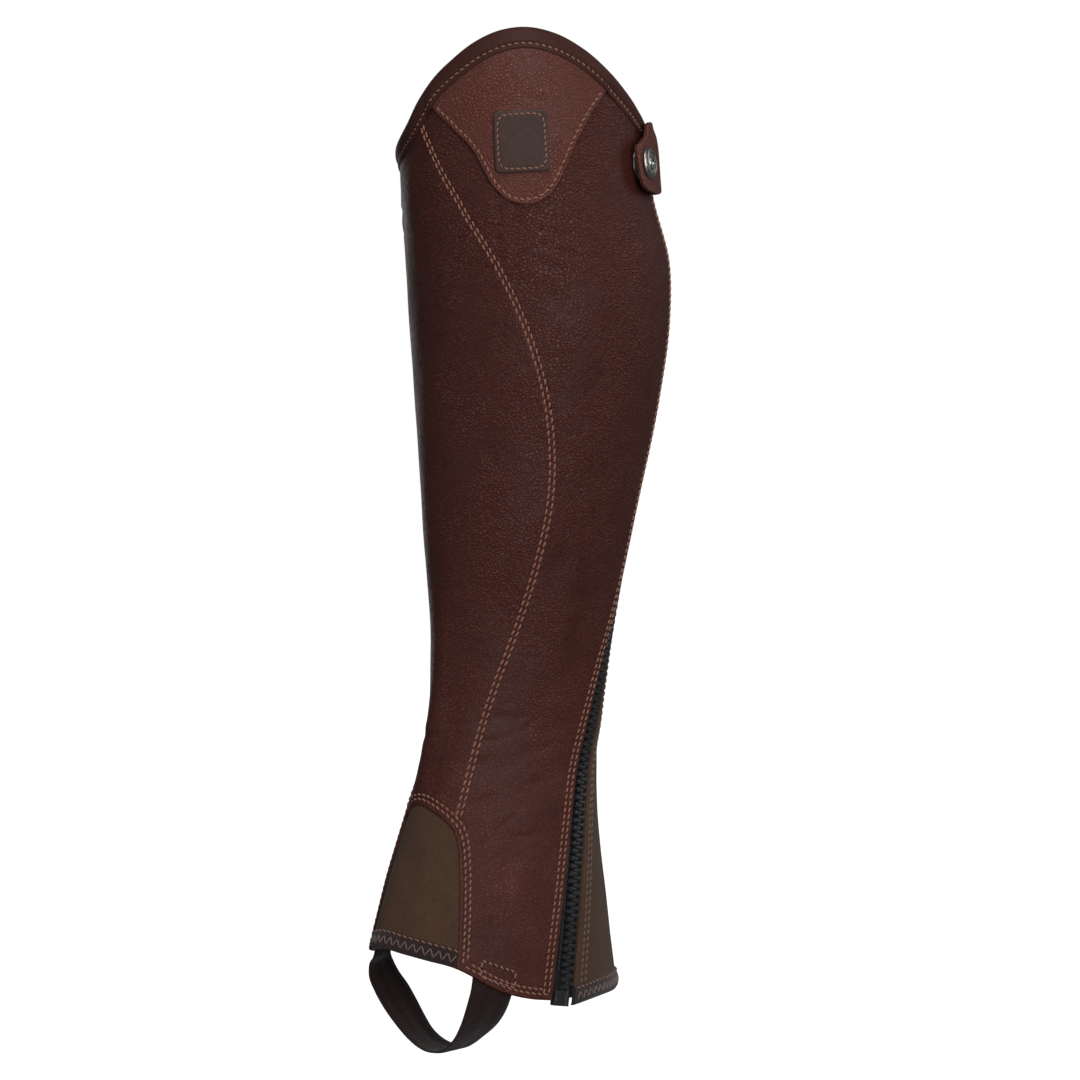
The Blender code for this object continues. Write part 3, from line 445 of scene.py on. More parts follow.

# %% [markdown]
# Sewing thread is three twisted plies of bonded nylon. A stitch shows as a short bright dash whose
# ends are painted dark, as painted shade where it dives into its needle hole. The plies are too fine
# to model, so they are a slanted wave in the bump. The attribute cloth holds the place along the
# stitch, from -1 to 1.

# %% Thread
def thread(name, deep, pale):
    """Twisted thread, its ends painted dark as painted shade where it enters the needle holes."""
    made, tree, shader = new_material(name, Roughness=0.55, Specular_IOR_Level=0.4, Sheen_Weight=0.2)
    along, around, _ = cloth_place(tree)
    plies = maths(tree, "SINE", maths(tree, "MULTIPLY_ADD", along, 14.0, around))
    # The deep colour at both ends of a stitch is painted shade from the needle hole, not the thread's
    # colour
    stops = ((0.0, pale), (0.62, pale), (0.98, deep))
    surface(tree, shader, maths(tree, "ABSOLUTE", along), stops, plies, 0.5, 0.08)
    return made


tan_thread = thread("tan_nylon_thread", "#3a1c15", "#ad7862")
brown_thread = thread("brown_nylon_thread", "#2d1f18", "#806450")
grey_thread = thread("grey_nylon_thread", "#332729", "#8a7671")
hole_shade = brushed("needle_hole_shadow", "#0a0605", "#140b09", 0.6, 0.05)
print("threads:", tan_thread.name, brown_thread.name, grey_thread.name)

# %% [markdown]
# Hard parts: the zip's teeth and box are acetal resin moulded straight on to the tape, black with a
# half-gloss skin. The slider is a zinc casting under dark lacquer. The snap is brass pressed to shape
# and silver plated; its plate has worn darker in the hollows.

# %% Resin and metal
def hard(name, deep, pale, roughness, metallic, size_mm, relief_mm):
    """Moulded, cast or pressed part with a faint unevenness."""
    made, tree, shader = new_material(name, Metallic=metallic)
    marks = noise(tree, object_place(tree), size_mm, 4.0)["Fac"]
    gloss = remap(tree, marks, (0.3, 0.7), roughness)
    surface(tree, shader, marks, ((0.3, deep), (0.7, pale)), marks, 0.4, relief_mm, gloss)
    return made


black_resin = hard("moulded_acetal", "#202022", "#3b3b3e", (0.26, 0.36), 0.0, 1.5, 0.03)
dark_casting = hard("lacquered_zinc", "#262628", "#3c3c3f", (0.25, 0.4), 1.0, 2.0, 0.02)
stop_skin = hard("stop_film_skin", "#0b0b0d", "#161618", (0.6, 0.75), 0.0, 1.5, 0.03)
# The snap's lower parts take a lighter copy of the silver: painted light, so that they show bright under
# the tab
painted_light_silver = hard("silver_plate_painted_lighter", "#b9b8b4", "#e2e1dd", (0.42, 0.55), 1.0, 1.2, 0.02)
old_silver = hard("worn_silver_plate", "#8a8986", "#cac9c4", (0.27, 0.42), 1.0, 1.2, 0.02)
print("hard finishes:", black_resin.name, dark_casting.name, old_silver.name)

# %% [markdown]
# A piece of leather or cloth has a face, a lining side and cut edges. Here it is a wall: two grids of
# points with a rim of quads all round, and each of the three takes its own finish. The Solidify
# modifier could thicken a single grid, but then the lining would dip as deeply as the face does
# where it is sewn.

# %% Meshes and walls
def grid_faces(across, up, first=0, flipped=False):
    """Quads of a grid of vertices, with the face's front by the order of its corners."""
    k = first + np.arange(across * up).reshape(across, up)
    corners = [k[:-1, :-1], k[1:, :-1], k[1:, 1:], k[:-1, 1:]]
    if flipped:
        corners = corners[::-1]
    return np.stack([c.ravel() for c in corners], -1)


def make_mesh(name, points, faces, cloth_map=None):
    """A mesh of points in metres, with its cloth map in millimetres."""
    mesh = bpy.data.meshes.new(name)
    mesh.from_pydata(points.reshape(-1, 3).tolist(), [], faces)
    if cloth_map is not None:
        flat_map = np.ascontiguousarray(cloth_map.reshape(-1, 3), np.float32).ravel()
        mesh.attributes.new("cloth", "FLOAT_VECTOR", "POINT").data.foreach_set("vector", flat_map)
    return mesh


def place_piece(mesh, materials, slot, sharp_over=180, replaced=True):
    """Shade a mesh and put it in the scene; it rides on the leg and may stand for its solid."""
    for material in materials:
        mesh.materials.append(material)
    mesh.shade_smooth()
    mesh.set_sharp_from_angle(angle=math.radians(sharp_over))
    item = bpy.data.objects.new(mesh.name, mesh)
    bpy.context.collection.objects.link(item)
    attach(item, "half_chap")
    if replaced:
        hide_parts(slot)
    return item


def wall_piece(slot, front, back, cloth_map, materials, sharp_over=50):
    """Closed wall between two grids of points: its face, its lining and its cut edge."""
    across, up = front.shape[:2]
    count = across * up
    k = np.arange(count).reshape(across, up)
    rims = []
    for edge, turned in ((k[:, 0], True), (k[:, -1], False), (k[0, :], False), (k[-1, :], True)):
        quad = np.stack([edge[:-1], edge[1:], edge[1:] + count, edge[:-1] + count], -1)
        rims.append(quad[:, ::-1] if turned else quad)
    faces = [grid_faces(across, up), grid_faces(across, up, count, True), np.concatenate(rims)]
    mesh = make_mesh(slot + "_cloth", np.stack((front, back)), np.concatenate(faces).tolist(),
                     np.stack((cloth_map, cloth_map)))
    kinds = np.concatenate([np.full(len(part), index) for index, part in enumerate(faces)])
    mesh.polygons.foreach_set("material_index", kinds.astype(np.int32))
    steps_across, steps_up = np.diff(front, axis=0), np.diff(front, axis=1)
    wide, long = (np.linalg.norm(steps, axis=-1).sum(axis).max() / MM
                  for axis, steps in enumerate((steps_across, steps_up)))
    area = np.linalg.norm(np.cross(steps_across[:, :-1], steps_up[:-1]), axis=-1).sum() * 1e4
    print(f"{slot}: face {wide:.0f} x {long:.0f} mm at most, {area:.1f} cm2, {len(kinds)} quads")
    return place_piece(mesh, materials, slot, sharp_over)


print("a grid of 3 x 4 places has", len(grid_faces(3, 4)), "quads")

# %% [markdown]
# Every panel is such a wall, on a grid of places between two lines down the leg and two lines round
# it. The grid is finest near the edges, where the leather rolls down into the seam and the needle
# pulls it in. A subdivided copy of the solid would be quicker, but it couldn't put its finest rows
# where the sewing is.

# %% Panels of cloth
# Distances of the grid's rows from a sewn edge, in millimetres
EDGE_STEPS = np.array([0.0, 0.2, 0.5, 0.9, 1.3, 1.8, 2.3, 2.8, 3.4, 4.0, 4.6, 5.4, 6.4])


def shares(length, step, edges=(True, True)):
    """Shares of a length in millimetres, closer together at its sewn edges."""
    start = EDGE_STEPS if edges[0] else EDGE_STEPS[:1]
    end = EDGE_STEPS if edges[1] else EDGE_STEPS[:1]
    first, last = start[-1], length - end[-1]
    count = max(2, int((last - first) / step))
    inner = np.linspace(first, last, count + 1)[1:-1]
    return np.concatenate((start, inner, length - end[::-1])) / length


def roll_off(distance, depth=0.55, reach=1.1):
    """How far a cut edge rolls down towards its seam."""
    return -depth * np.clip(1 - distance / reach, 0, 1) ** 2


def pulled_in(distance, rows, depth=0.22, half=0.55):
    """The shallow channel that the thread pulls along each row of stitches."""
    return -depth * sum(np.exp(-((distance - row) / half) ** 2) for row in rows)


def places_between(left, right, low, high, across, up, join=None):
    """Turn and height of each place of a grid between lines down the leg and round it."""
    u, v = across[:, None], up[None, :]
    split = 0.2
    turn = (left(0.0) * (1 - u) + right(0.0) * u) * np.ones_like(v)
    for _ in range(40):
        bottom, top = low(turn), high(turn)
        if join is None:
            height = bottom + (top - bottom) * v
        else:
            height = np.where(v < split, bottom + (join - bottom) * v / split,
                              join + (top - join) * (v - split) / (1 - split))
        turn = left(height) * (1 - u) + right(height) * u
    return turn, height


def panel(slot, left, right, low, high, size, out, thickness, materials, rows, step=2.2, join=None,
          edges=((True, True), (True, True)), bulge=0.0, roll=(0.5, 0.5, 0.5, 0)):
    """One cut piece on the leg. For its left, right, low and high edge, rows gives the distances of
    its sewing, or None where no edge shows, and roll how far the edge turns down."""
    across, up = shares(size[0], step, edges[0]), shares(size[1], step, edges[1])
    turn, height = places_between(left, right, low, high, across, up, join)
    per_degree = arc(turn, height)
    from_edges = (
        (turn - left(height)) * per_degree, (right(height) - turn) * per_degree,
        height - low(turn), high(turn) - height)
    face_out = out + bulge * np.sin(np.pi * up)[None, :] * np.ones_like(turn)
    for distance, sewn, depth in zip(from_edges, rows, roll):
        if sewn is not None:
            face_out = face_out + roll_off(distance, depth) + pulled_in(distance, sewn)
    front = cloth_point(turn, height, face_out)
    back = cloth_point(turn, height, np.minimum(face_out, out) * 0.5 + out * 0.5 - thickness)
    nearest = np.min(np.stack(np.broadcast_arrays(*from_edges)), axis=0)
    along = np.cumsum(np.linalg.norm(np.diff(front, axis=1, prepend=front[:, :1]), axis=-1), axis=1) / MM
    return wall_piece(slot, front, back, np.stack((turn * per_degree, along, nearest), -1), materials)


print("rows of the grid beside a sewn edge, mm:", EDGE_STEPS.tolist())

# %% [markdown]
# The top edge leans as it climbs over the outer side, so the line where the panels end inside the
# binding's fold is the top edge moved square to itself. After that the three leather panels are
# cut. The outer panel ends at the zip; the shin panel is the narrow curved one in front; the inner
# panel lies against the horse.

# %% Leather panels
BINDING_ENDS = (-216.0, 150.0)


def below_top(turn, distance):
    """Turn and height a distance below the top edge, square to it except at its two ends."""
    height = top_edge(turn)
    rise = (top_edge(turn + 1) - top_edge(turn - 1)) / (2 * arc(turn, height))
    to_end = np.minimum(turn - BINDING_ENDS[0], BINDING_ENDS[1] - turn)
    lean = np.arctan(rise) * np.clip(to_end / 16.0, 0, 1)
    return turn + distance * np.sin(lean) / arc(turn, height), height - distance * np.cos(lean)


def line_below_top(distance):
    """Height round the leg of the line a distance below the top edge."""
    turns, heights = below_top(np.linspace(*BINDING_ENDS, 241), distance)
    return curve(np.stack((turns, heights), -1).tolist())


BINDING_COVERS = 8.4
panel_top = line_below_top(BINDING_COVERS)
HALF_GAP = 0.03
LEATHER_THICKNESS, KNIT_THICKNESS, BAND_THICKNESS = 1.6, 1.3, 1.85
LEATHER_SIDES = (cowhide, lining, raw_edge)
# Rows of stitches, by their distance from the piece's edge in millimetres
SEAM_ROW, SHIELD_ROW = 1.1, 2.0
ZIP_ROWS, HEM_ROWS, ARCH_ROWS, REAR_ROWS = (2.4, 4.9), (2.6, 4.8), (2.4, 4.4), (2.4, 4.4)
# The leather's edge draws away from the teeth towards the foot. Columns: height, clear of the zip's line
ZIP_CLEAR = 4.9
front_clear = curve((
    (90, ZIP_CLEAR), (-190, ZIP_CLEAR), (-215, 5.2), (-240, 5.8), (-265, 6.5), (-290, 7.3), (-314, 8.0)))


def front_edge(distance=0.0):
    """The outer panel's edge along the zip, or a line a distance inside it."""
    return lambda height: beside(zip_turn, -front_clear(height) - distance)(height)


def seam_and_arch(seam, arch, gap):
    """A seam down the leg that goes over into the gusset's arch at its foot."""
    return lambda height: np.where(height > JOIN, beside(seam, gap)(height), beside(arch, gap)(height))


outer_panel = panel(
    "outer_panel", seam_and_arch(front_seam, arch_leg, HALF_GAP), front_edge(), hem, panel_top,
    (115, 400), 0.0, LEATHER_THICKNESS, LEATHER_SIDES, ((SEAM_ROW,), ZIP_ROWS, HEM_ROWS, None),
    step=1.4, join=JOIN, roll=(0.3, 0.5, 0.5, 0))
shin_panel = panel(
    "shin_panel", beside(inner_seam, HALF_GAP), beside(front_seam, -HALF_GAP),
    lambda t: arch_top(t) + HALF_GAP, panel_top, (90, 310), 0.0, LEATHER_THICKNESS, LEATHER_SIDES,
    ((SEAM_ROW,), (SEAM_ROW,), ARCH_ROWS, None), step=1.4, roll=(0.3, 0.3, 0.5, 0))
inner_panel = panel(
    "inner_panel", beside(rear_seam, HALF_GAP), seam_and_arch(inner_seam, inner_arch_leg, -HALF_GAP),
    hem, panel_top, (100, 365), 0.0, LEATHER_THICKNESS, LEATHER_SIDES,
    (REAR_ROWS, (SEAM_ROW,), HEM_ROWS, None), step=1.5, join=JOIN, roll=(0.5, 0.3, 0.5, 0))

# %% [markdown]
# The stretch pieces sit lower than the leather, because they are sewn behind its edges. The gusset
# lets the boot flex at the instep; the rear panel lets the chap close on calves of different sizes.
# Their lower edges are bound with a folded tape, which bulges a little and laps 0.6 mm over the
# cloth. The gusset and its band run on under the leather, as cloth does in a lapped seam: edge to
# edge they would let light through.

# %% Stretch pieces and hem bands
BAND, BOUND = 8.6, 0.6
GUSSET_UNDER, BAND_UNDER = 1.5, 0.8
STRETCH_ROWS = (4.5, 7.7)


def gusset_side(line, distance):
    """A leg of the gusset's arch, moved aside."""
    return lambda height: beside(line, distance)(np.minimum(height, JOIN))


def gusset_sides(under):
    """Both legs of the arch, moved out under the leather."""
    return gusset_side(inner_arch_leg, -under), gusset_side(arch_leg, under)


def hem_band(slot, sides, edge, size, out, ends_sewn, roll):
    """A folded tape on a stretch piece's lower edge, sewn along its top."""
    return panel(slot, *sides, edge, lambda t: edge(t) + BAND - HALF_GAP, size, out, BAND_THICKNESS,
                 (folded_tape,) * 3, ((), (), (), (1.0,)), step=1.0,
                 edges=((ends_sewn, ends_sewn), (False, False)), bulge=0.35, roll=(roll, roll, 0.8, 0.6))


rear_sides = beside(zip_turn, ZIP_CLEAR, -1), beside(rear_seam, -HALF_GAP)
front_gusset = panel(
    "front_gusset", *gusset_sides(GUSSET_UNDER), lambda t: hem(t) + BAND - BOUND,
    lambda t: arch_top(t) + GUSSET_UNDER, (57, 57), -1.1, KNIT_THICKNESS, (stretch_knit,) * 3,
    (None,) * 4, step=1.8)
front_band = hem_band("front_gusset_hem", gusset_sides(BAND_UNDER), hem, (57, 8.4), -0.65, True, 0.5)
rear_stretch = panel(
    "rear_stretch", *rear_sides, lambda t: rear_hem(t) + BAND - BOUND, panel_top, (50, 360), -0.3,
    KNIT_THICKNESS, (stretch_knit,) * 3, (STRETCH_ROWS, None, None, None), join=JOIN, roll=(0.3, 0, 0, 0))
rear_band = hem_band("rear_stretch_hem", rear_sides, rear_hem, (60, 8.4), 0.25, False, 0.0)

# %% [markdown]
# The shield is a second layer of leather that covers the top of the outer side, and a small badge of
# plain matt leather is sewn on it. The badge has rounded corners, so its grid is squeezed to that
# outline rather than cut from a square.

# %% Shield and badge
SHIELD_OUT, SHIELD_THICKNESS = 1.7, 1.4
SHIELD_ENDS = (9.2, 98.5)
SHIELD_SIDES = (shield_hide, lining, raw_edge)


def shield_low(turn):
    """The shield's lower edge, carried on straight past its table's ends to the binding."""
    first, last = SHIELD_ENDS
    before = np.minimum(turn - first, 0) * (shield_edge(first + 2) - shield_edge(first)) / 2
    after = np.maximum(turn - last, 0) * (shield_edge(last) - shield_edge(last - 2)) / 2
    return np.minimum(shield_edge(turn) + before + after, panel_top(turn) - 0.4)


trial = np.linspace(2.0, 106.0, 2000)
inside = trial[shield_low(trial) < panel_top(trial) - 0.45]
shield_from, shield_to = float(inside[0]), float(inside[-1])
shield = panel(
    "shield_overlay", lambda h: shield_from + 0 * h, lambda h: shield_to + 0 * h, shield_low,
    lambda t: panel_top(t) - HALF_GAP, (80, 48), SHIELD_OUT, SHIELD_THICKNESS, SHIELD_SIDES,
    (None, None, (SHIELD_ROW,), None), step=1.6, edges=((False, False), (True, False)))

BADGE_TURN, BADGE_HEIGHT, BADGE_TILT = 54.2, 66.8, math.radians(2.5)
BADGE_HALF, BADGE_TALL, BADGE_CORNER, BADGE_SHEAR = 11.4, 13.4, 2.6, 0.075
BADGE_OUT, BADGE_THICKNESS, BADGE_ROW = SHIELD_OUT + 1.9, 1.6, 1.6


def badge_place(x, y):
    """Turn and height of a place on the badge, in millimetres from its middle."""
    per_degree = arc(BADGE_TURN, BADGE_HEIGHT)
    turn = BADGE_TURN + (x * math.cos(BADGE_TILT) - y * (math.sin(BADGE_TILT) - BADGE_SHEAR)) / per_degree
    return turn, BADGE_HEIGHT + x * math.sin(BADGE_TILT) + y * math.cos(BADGE_TILT)


def badge_half_height(x):
    """Half the badge's height at a distance across it."""
    past = np.clip(np.abs(x) - (BADGE_HALF - BADGE_CORNER), 0, BADGE_CORNER)
    return BADGE_TALL - BADGE_CORNER + np.sqrt(np.maximum(BADGE_CORNER ** 2 - past ** 2, 0))


x = -BADGE_HALF * np.cos(np.pi * np.linspace(0, 1, 41))[:, None]
y = badge_half_height(x) * -np.cos(np.pi * np.linspace(0, 1, 31))[None, :]
to_edge = np.minimum(BADGE_HALF - np.abs(x), badge_half_height(x) - np.abs(y))
turn, height = badge_place(x, y)
badge_face = BADGE_OUT + roll_off(to_edge, 0.7, 1.2) + pulled_in(to_edge, (BADGE_ROW,), 0.3, 0.5)
badge = wall_piece(
    "badge", cloth_point(turn, height, badge_face), cloth_point(turn, height, BADGE_OUT - BADGE_THICKNESS),
    np.stack((x + 0 * y, y, to_edge), -1), (patch_hide, lining, patch_hide))

# %% [markdown]
# The top edge is bound with a strip of thin calf leather folded over a foam cord, so that it doesn't
# rub the rider's knee. It is swept as a rounded section along the edge. Where the thread pulls it
# down it puckers gently between the stitches, which a plain swept tube wouldn't show.

# %% Top binding
# Columns: distance down from the edge, distance out
ROLL = ((0.0, -0.9), (0.6, 0.7), (2.2, 1.6), (4.8, 1.7), (7.2, 0.75), (9.0, 0.75), (9.6, 0.3),
        (9.6, -2.0), (7.2, -2.5), (4.8, -3.4), (2.2, -3.3), (0.6, -2.4))
BINDING_ROW = 7.2
BINDING_STATIONS = 460
STITCH_PITCH = 3.0


def smooth_ring(points, rounds):
    """Closed outline with its corners rounded by cutting them a few times."""
    ring = np.array(points, float)
    for _ in range(rounds):
        following = np.roll(ring, -1, axis=0)
        ring = np.stack((ring * 0.75 + following * 0.25, ring * 0.25 + following * 0.75), 1).reshape(-1, 2)
    return ring


def eased(share):
    """A share from 0 to 1 that starts and ends gently."""
    share = np.clip(share, 0, 1)
    return share * share * (3 - 2 * share)


def over_shield(turn):
    """How far the roll's lip climbs over the shield, in millimetres."""
    return 1.5 * eased(np.clip((turn - 4.5) / 5.0, 0, 1) * np.clip((103.0 - turn) / 5.0, 0, 1))


down_by, out_by = smooth_ring(ROLL, 2).T
clear = (ZIP_CLEAR + 0.3) / float(arc(zip_turn(70.0), 70.0))
stations = np.linspace(zip_turn(70.0) - 360 + clear, zip_turn(70.0) - clear, BINDING_STATIONS + 1)
turn, height = below_top(stations[:, None], down_by)
edge_line = cloth_point(stations, top_edge(stations))
length = np.cumsum(np.linalg.norm(np.diff(edge_line, axis=0, prepend=edge_line[:1]), axis=-1))[:, None] / MM
pucker = 0.10 * np.cos(2 * np.pi * length / STITCH_PITCH) * np.exp(-((down_by - 6.2) / 1.6) ** 2)
wander = 0.08 * np.sin(length / 7.0) * np.sin(length / 17.0 + 2)
lip = eased((down_by - 2.5) / 4.5) * over_shield(turn)
sewn_in = -0.30 * np.exp(-((down_by - BINDING_ROW) / 0.5) ** 2)
tube = cloth_point(turn, height, out_by + (pucker + wander + lip + sewn_in) * (out_by > -0.5))
index = np.arange(turn.size).reshape(turn.shape)
around = np.roll(index, -1, axis=1)
sides = np.stack((index[:-1], around[:-1], around[1:], index[1:]), -1).reshape(-1, 4).tolist()
roll_map = np.stack(np.broadcast_arrays(length, down_by, 5.0), -1)
mesh = make_mesh("top_binding_cloth", tube, sides + [index[0][::-1].tolist(), index[-1].tolist()], roll_map)
binding = place_piece(mesh, (roll_hide,), "top_binding", sharp_over=60)
print("binding runs", round(float(length[-1, 0])), "mm with", len(mesh.polygons), "faces")

# %% [markdown]
# The snap tab is a strip of leather from the rear of the leg that closes over the slider. Its cut
# edge is left raw, and it lifts off the leg at its front end, where the snap's stack stands below it.
# It is a wall like the panels, with its rise from the leg in a table.

# %% Snap tab
# Columns: turn, low edge, high edge, rise from the leg, share of the bow
TAB = (
    (112.4, 50.4, 62.4, 4.0, 0.0), (113.1, 47.8, 63.9, 4.0, 0.0), (115.4, 45.3, 65.0, 3.9, 0.0),
    (121.5, 43.5, 67.4, 3.5, 0.0), (126.4, 42.6, 69.3, 3.2, 0.0), (129.6, 42.2, 73.2, 3.1, 0.2),
    (134.0, 42.2, 74.0, 3.1, 0.6), (144.0, 42.6, 74.0, 3.6, 1.0), (154.0, 42.2, 68.0, 3.2, 1.0),
    (161.0, 40.8, 61.0, 2.2, 0.7), (168.0, 39.0, 55.6, 0.9, 0.3), (175.0, 37.0, 52.0, 0.15, 0.0),
    (188.0, 33.0, 47.6, 0.15, 0.0),
)
tab_low, tab_high, tab_rise, tab_share = (curve(TAB, column) for column in (1, 2, 3, 4))
tab_lift = curve(((42, -1.5), (50, -0.7), (58, 0.0), (64, 0.2), (68, -0.1), (71, -0.8), (74, -1.1)))
TAB_THICKNESS = 1.8
TAB_FRONT, TAB_BACK = TAB[0][0], TAB[-1][0]
TAB_ARC = 0.95
SNAP_TURN, SNAP_HEIGHT = 122.3, 56.2


def tab_face(turn, height):
    """Distance of the tab's face from the leg."""
    return tab_rise(turn) + tab_share(turn) * tab_lift(height) + TAB_THICKNESS


def tab_level(turn, share):
    """Height at a share of the tab's width above its low edge."""
    return tab_low(turn) * (1 - share) + tab_high(turn) * share


u, v = shares(70, 1.0, (True, False))[:, None], shares(26, 1.0)[None, :]
turn = TAB_FRONT + (TAB_BACK - TAB_FRONT) * u + 0 * v
height = tab_level(turn, v)
to_edge = np.minimum(np.minimum(v, 1 - v) * (tab_high(turn) - tab_low(turn)), (turn - TAB_FRONT) * TAB_ARC)
from_snap = np.hypot((turn - SNAP_TURN) * TAB_ARC, height - SNAP_HEIGHT)
face = tab_face(turn, height)
pressed = 0.25 * np.exp(-(from_snap / 8.5) ** 6)
front = cloth_point(turn, height, face + roll_off(to_edge, 0.4, 0.9) - pressed)
snap_tab = wall_piece("snap_tab", front, cloth_point(turn, height, face - TAB_THICKNESS),
                      np.stack((turn, height, to_edge), -1), SHIELD_SIDES)

# %% [markdown]
# The strap is a 20 mm ribbed elastic, sewn inside both hems, that runs under the boot's arch. It is
# swept through the same rows as its solid, with a smooth curve between them, and thins to a rounded
# selvedge at both edges. Its ribs run across, so its map counts millimetres along the strap.

# %% Stirrup strap
# Columns: turn, height, distance out, of the two sewn ends
STRAP_OUTER_END = ((68.5, -291.5, -1.9), (68.5, -299.5, -1.9), (68.0, -306.5, -1.9))
STRAP_INNER_END = ((-45.0, -295.4, -2.9), (-45.0, -287.0, -2.9), (-45.0, -279.0, -2.9))
# Columns: x, y, height, yaw, of the free run's middle line
STRAP_RUN = (
    (33.6, -54.8, -311.4, 15), (31.4, -55.4, -317.0, 11), (27.6, -56.2, -323.4, 2),
    (21.8, -57.4, -329.6, -10), (14.6, -59.0, -334.8, -14), (7.4, -60.5, -335.9, -14),
    (0.6, -62.0, -334.4, -17), (-5.8, -63.4, -330.8, -17), (-12.0, -64.7, -325.0, -11),
    (-17.9, -65.8, -318.4, -5), (-23.2, -66.9, -311.6, -6), (-27.2, -68.0, -305.8, -15),
    (-27.9, -69.0, -300.4, -25),
)
STRAP_WIDTH, STRAP_THICKNESS = 20.0, 1.8


def strap_row(middle, back, outward):
    """Left edge, right edge and outward direction of one row of the strap."""
    return np.concatenate((middle - back * STRAP_WIDTH / 2, middle + back * STRAP_WIDTH / 2, outward))


def sewn_end(rows):
    """The strap's rows where it lies inside the hem."""
    for turn, height, out in rows:
        across_leg, _, outward = form_axes(turn, height)
        middle = form_point(turn, height) + outward * (out - STRAP_THICKNESS / 2)
        yield strap_row(middle, across_leg * math.copysign(1.0, turn), outward)


def free_run(rows):
    """The strap's rows where it hangs free."""
    middles = np.array([row[:3] for row in rows])
    for k, row in enumerate(rows):
        along = middles[min(k + 1, len(rows) - 1)] - middles[max(k - 1, 0)]
        back = np.array((math.sin(math.radians(row[3])), math.cos(math.radians(row[3])), 0.0))
        yield strap_row(middles[k], back, unit(np.cross(along, back)))


strap_rows = np.array([*sewn_end(STRAP_OUTER_END), *free_run(STRAP_RUN), *sewn_end(STRAP_INNER_END)])
middle_line = (strap_rows[:, :3] + strap_rows[:, 3:6]) / 2
at = np.concatenate(([0.0], np.cumsum(np.linalg.norm(np.diff(middle_line, axis=0), axis=1))))
finer = np.linspace(0, at[-1], 200)
smooth_rows = np.stack([curve(np.stack((at, column), -1).tolist())(finer) for column in strap_rows.T], -1)
v = np.linspace(-1, 1, 17)[:, None, None]
left, right, outward = smooth_rows[None, :, :3], smooth_rows[None, :, 3:6], unit(smooth_rows[None, :, 6:])
body = left * (1 - v) / 2 + right * (1 + v) / 2
selvedge = 0.12 * np.exp(-((np.abs(v) - 0.86) / 0.04) ** 2)
half_thick = STRAP_THICKNESS / 2 * (1 - 0.55 * np.abs(v) ** 10) - selvedge
v = v[..., 0]
strap_map = np.stack(np.broadcast_arrays(v * STRAP_WIDTH / 2, finer, 1 - np.abs(v)), -1)
strap = wall_piece("stirrup_strap", (body + outward * half_thick) * MM, (body - outward * half_thick) * MM,
                   strap_map, (ribbed_elastic,) * 3, sharp_over=70)
print("strap length in mm:", round(float(at[-1])))

# %% [markdown]
# Each stitch is a short arched piece of thread: it rises from one needle hole and dives into the
# next. They are real geometry, because a painted dash doesn't catch the light. A row of stitches
# follows a line of places; a zigzag row jumps between two such lines. The stitches of each group of
# rows are joined into one mesh, made in one go from arrays.

# %% Stitch maker
FRONT_PITCH = 3.5
THREAD_RADIUS = 0.38
BIT_SIDES, HOLE_SIDES = 6, 8
HOLE_HALF_LENGTH, HOLE_HALF_WIDTH, HOLE_SUNK = 0.52, 0.42, 0.10
BIT_STATIONS = np.array([-1.0, -0.86, -0.5, 0.0, 0.5, 0.86, 1.0])
# Width and lift at each station, as shares of the thread's radius
BIT_WIDTH = np.array([0.35, 0.8, 1.0, 1.0, 1.0, 0.8, 0.35])
BIT_LIFT = np.array([-0.42, -0.14, 0.10, 0.17, 0.10, -0.14, -0.42]) / 0.36


def along_line(turns, heights, out, choose):
    """Points and normals along a line of places, at lengths in millimetres that choose picks."""
    points = cloth_point(turns, heights, out) / MM
    lengths = np.concatenate(([0.0], np.cumsum(np.linalg.norm(np.diff(points, axis=0), axis=1))))
    chosen = choose(lengths[-1])
    normals = form_axes(turns, heights)[2]
    found = [np.interp(chosen, lengths, values) for values in (*points.T, *normals.T)]
    return np.stack(found[:3], -1), unit(np.stack(found[3:], -1))


def row_of_stitches(turns, heights, out=0.0, pitch=STITCH_PITCH, fill=0.84, slant=0.32):
    """Start, end and normal of each stitch of a row; a lockstitch lies a little askew."""
    def ends(length):
        count = max(1, round(length / pitch))
        step = length / count
        shift = (abs(float(np.ravel(turns)[0])) * 7.3) % 1.0 * (1 - fill)
        start = np.arange(count) * step + step * shift
        return np.stack((start, start + step * fill), -1)
    points, normals = along_line(turns, heights, out, ends)
    normal = unit(normals[:, 0] + normals[:, 1])
    aside = unit(np.cross(points[:, 1] - points[:, 0], normal)) * slant
    return points[:, 0] - aside, points[:, 1] + aside, normal


def zigzag(turns, edge, out, low=1.9, high=5.7, pitch=4.0):
    """Start, end and normal of each stitch of a zigzag between two heights above an edge."""
    def every(length):
        return np.arange(0, length, pitch / 2)
    bottom, normals = along_line(turns, edge(turns) + low, out, every)
    top, _ = along_line(turns, edge(turns) + high, out, every)
    count = min(len(bottom), len(top))
    knots = np.where(np.arange(count)[:, None] % 2 == 0, bottom[:count], top[:count])
    return knots[:-1], knots[1:], normals[:count - 1]


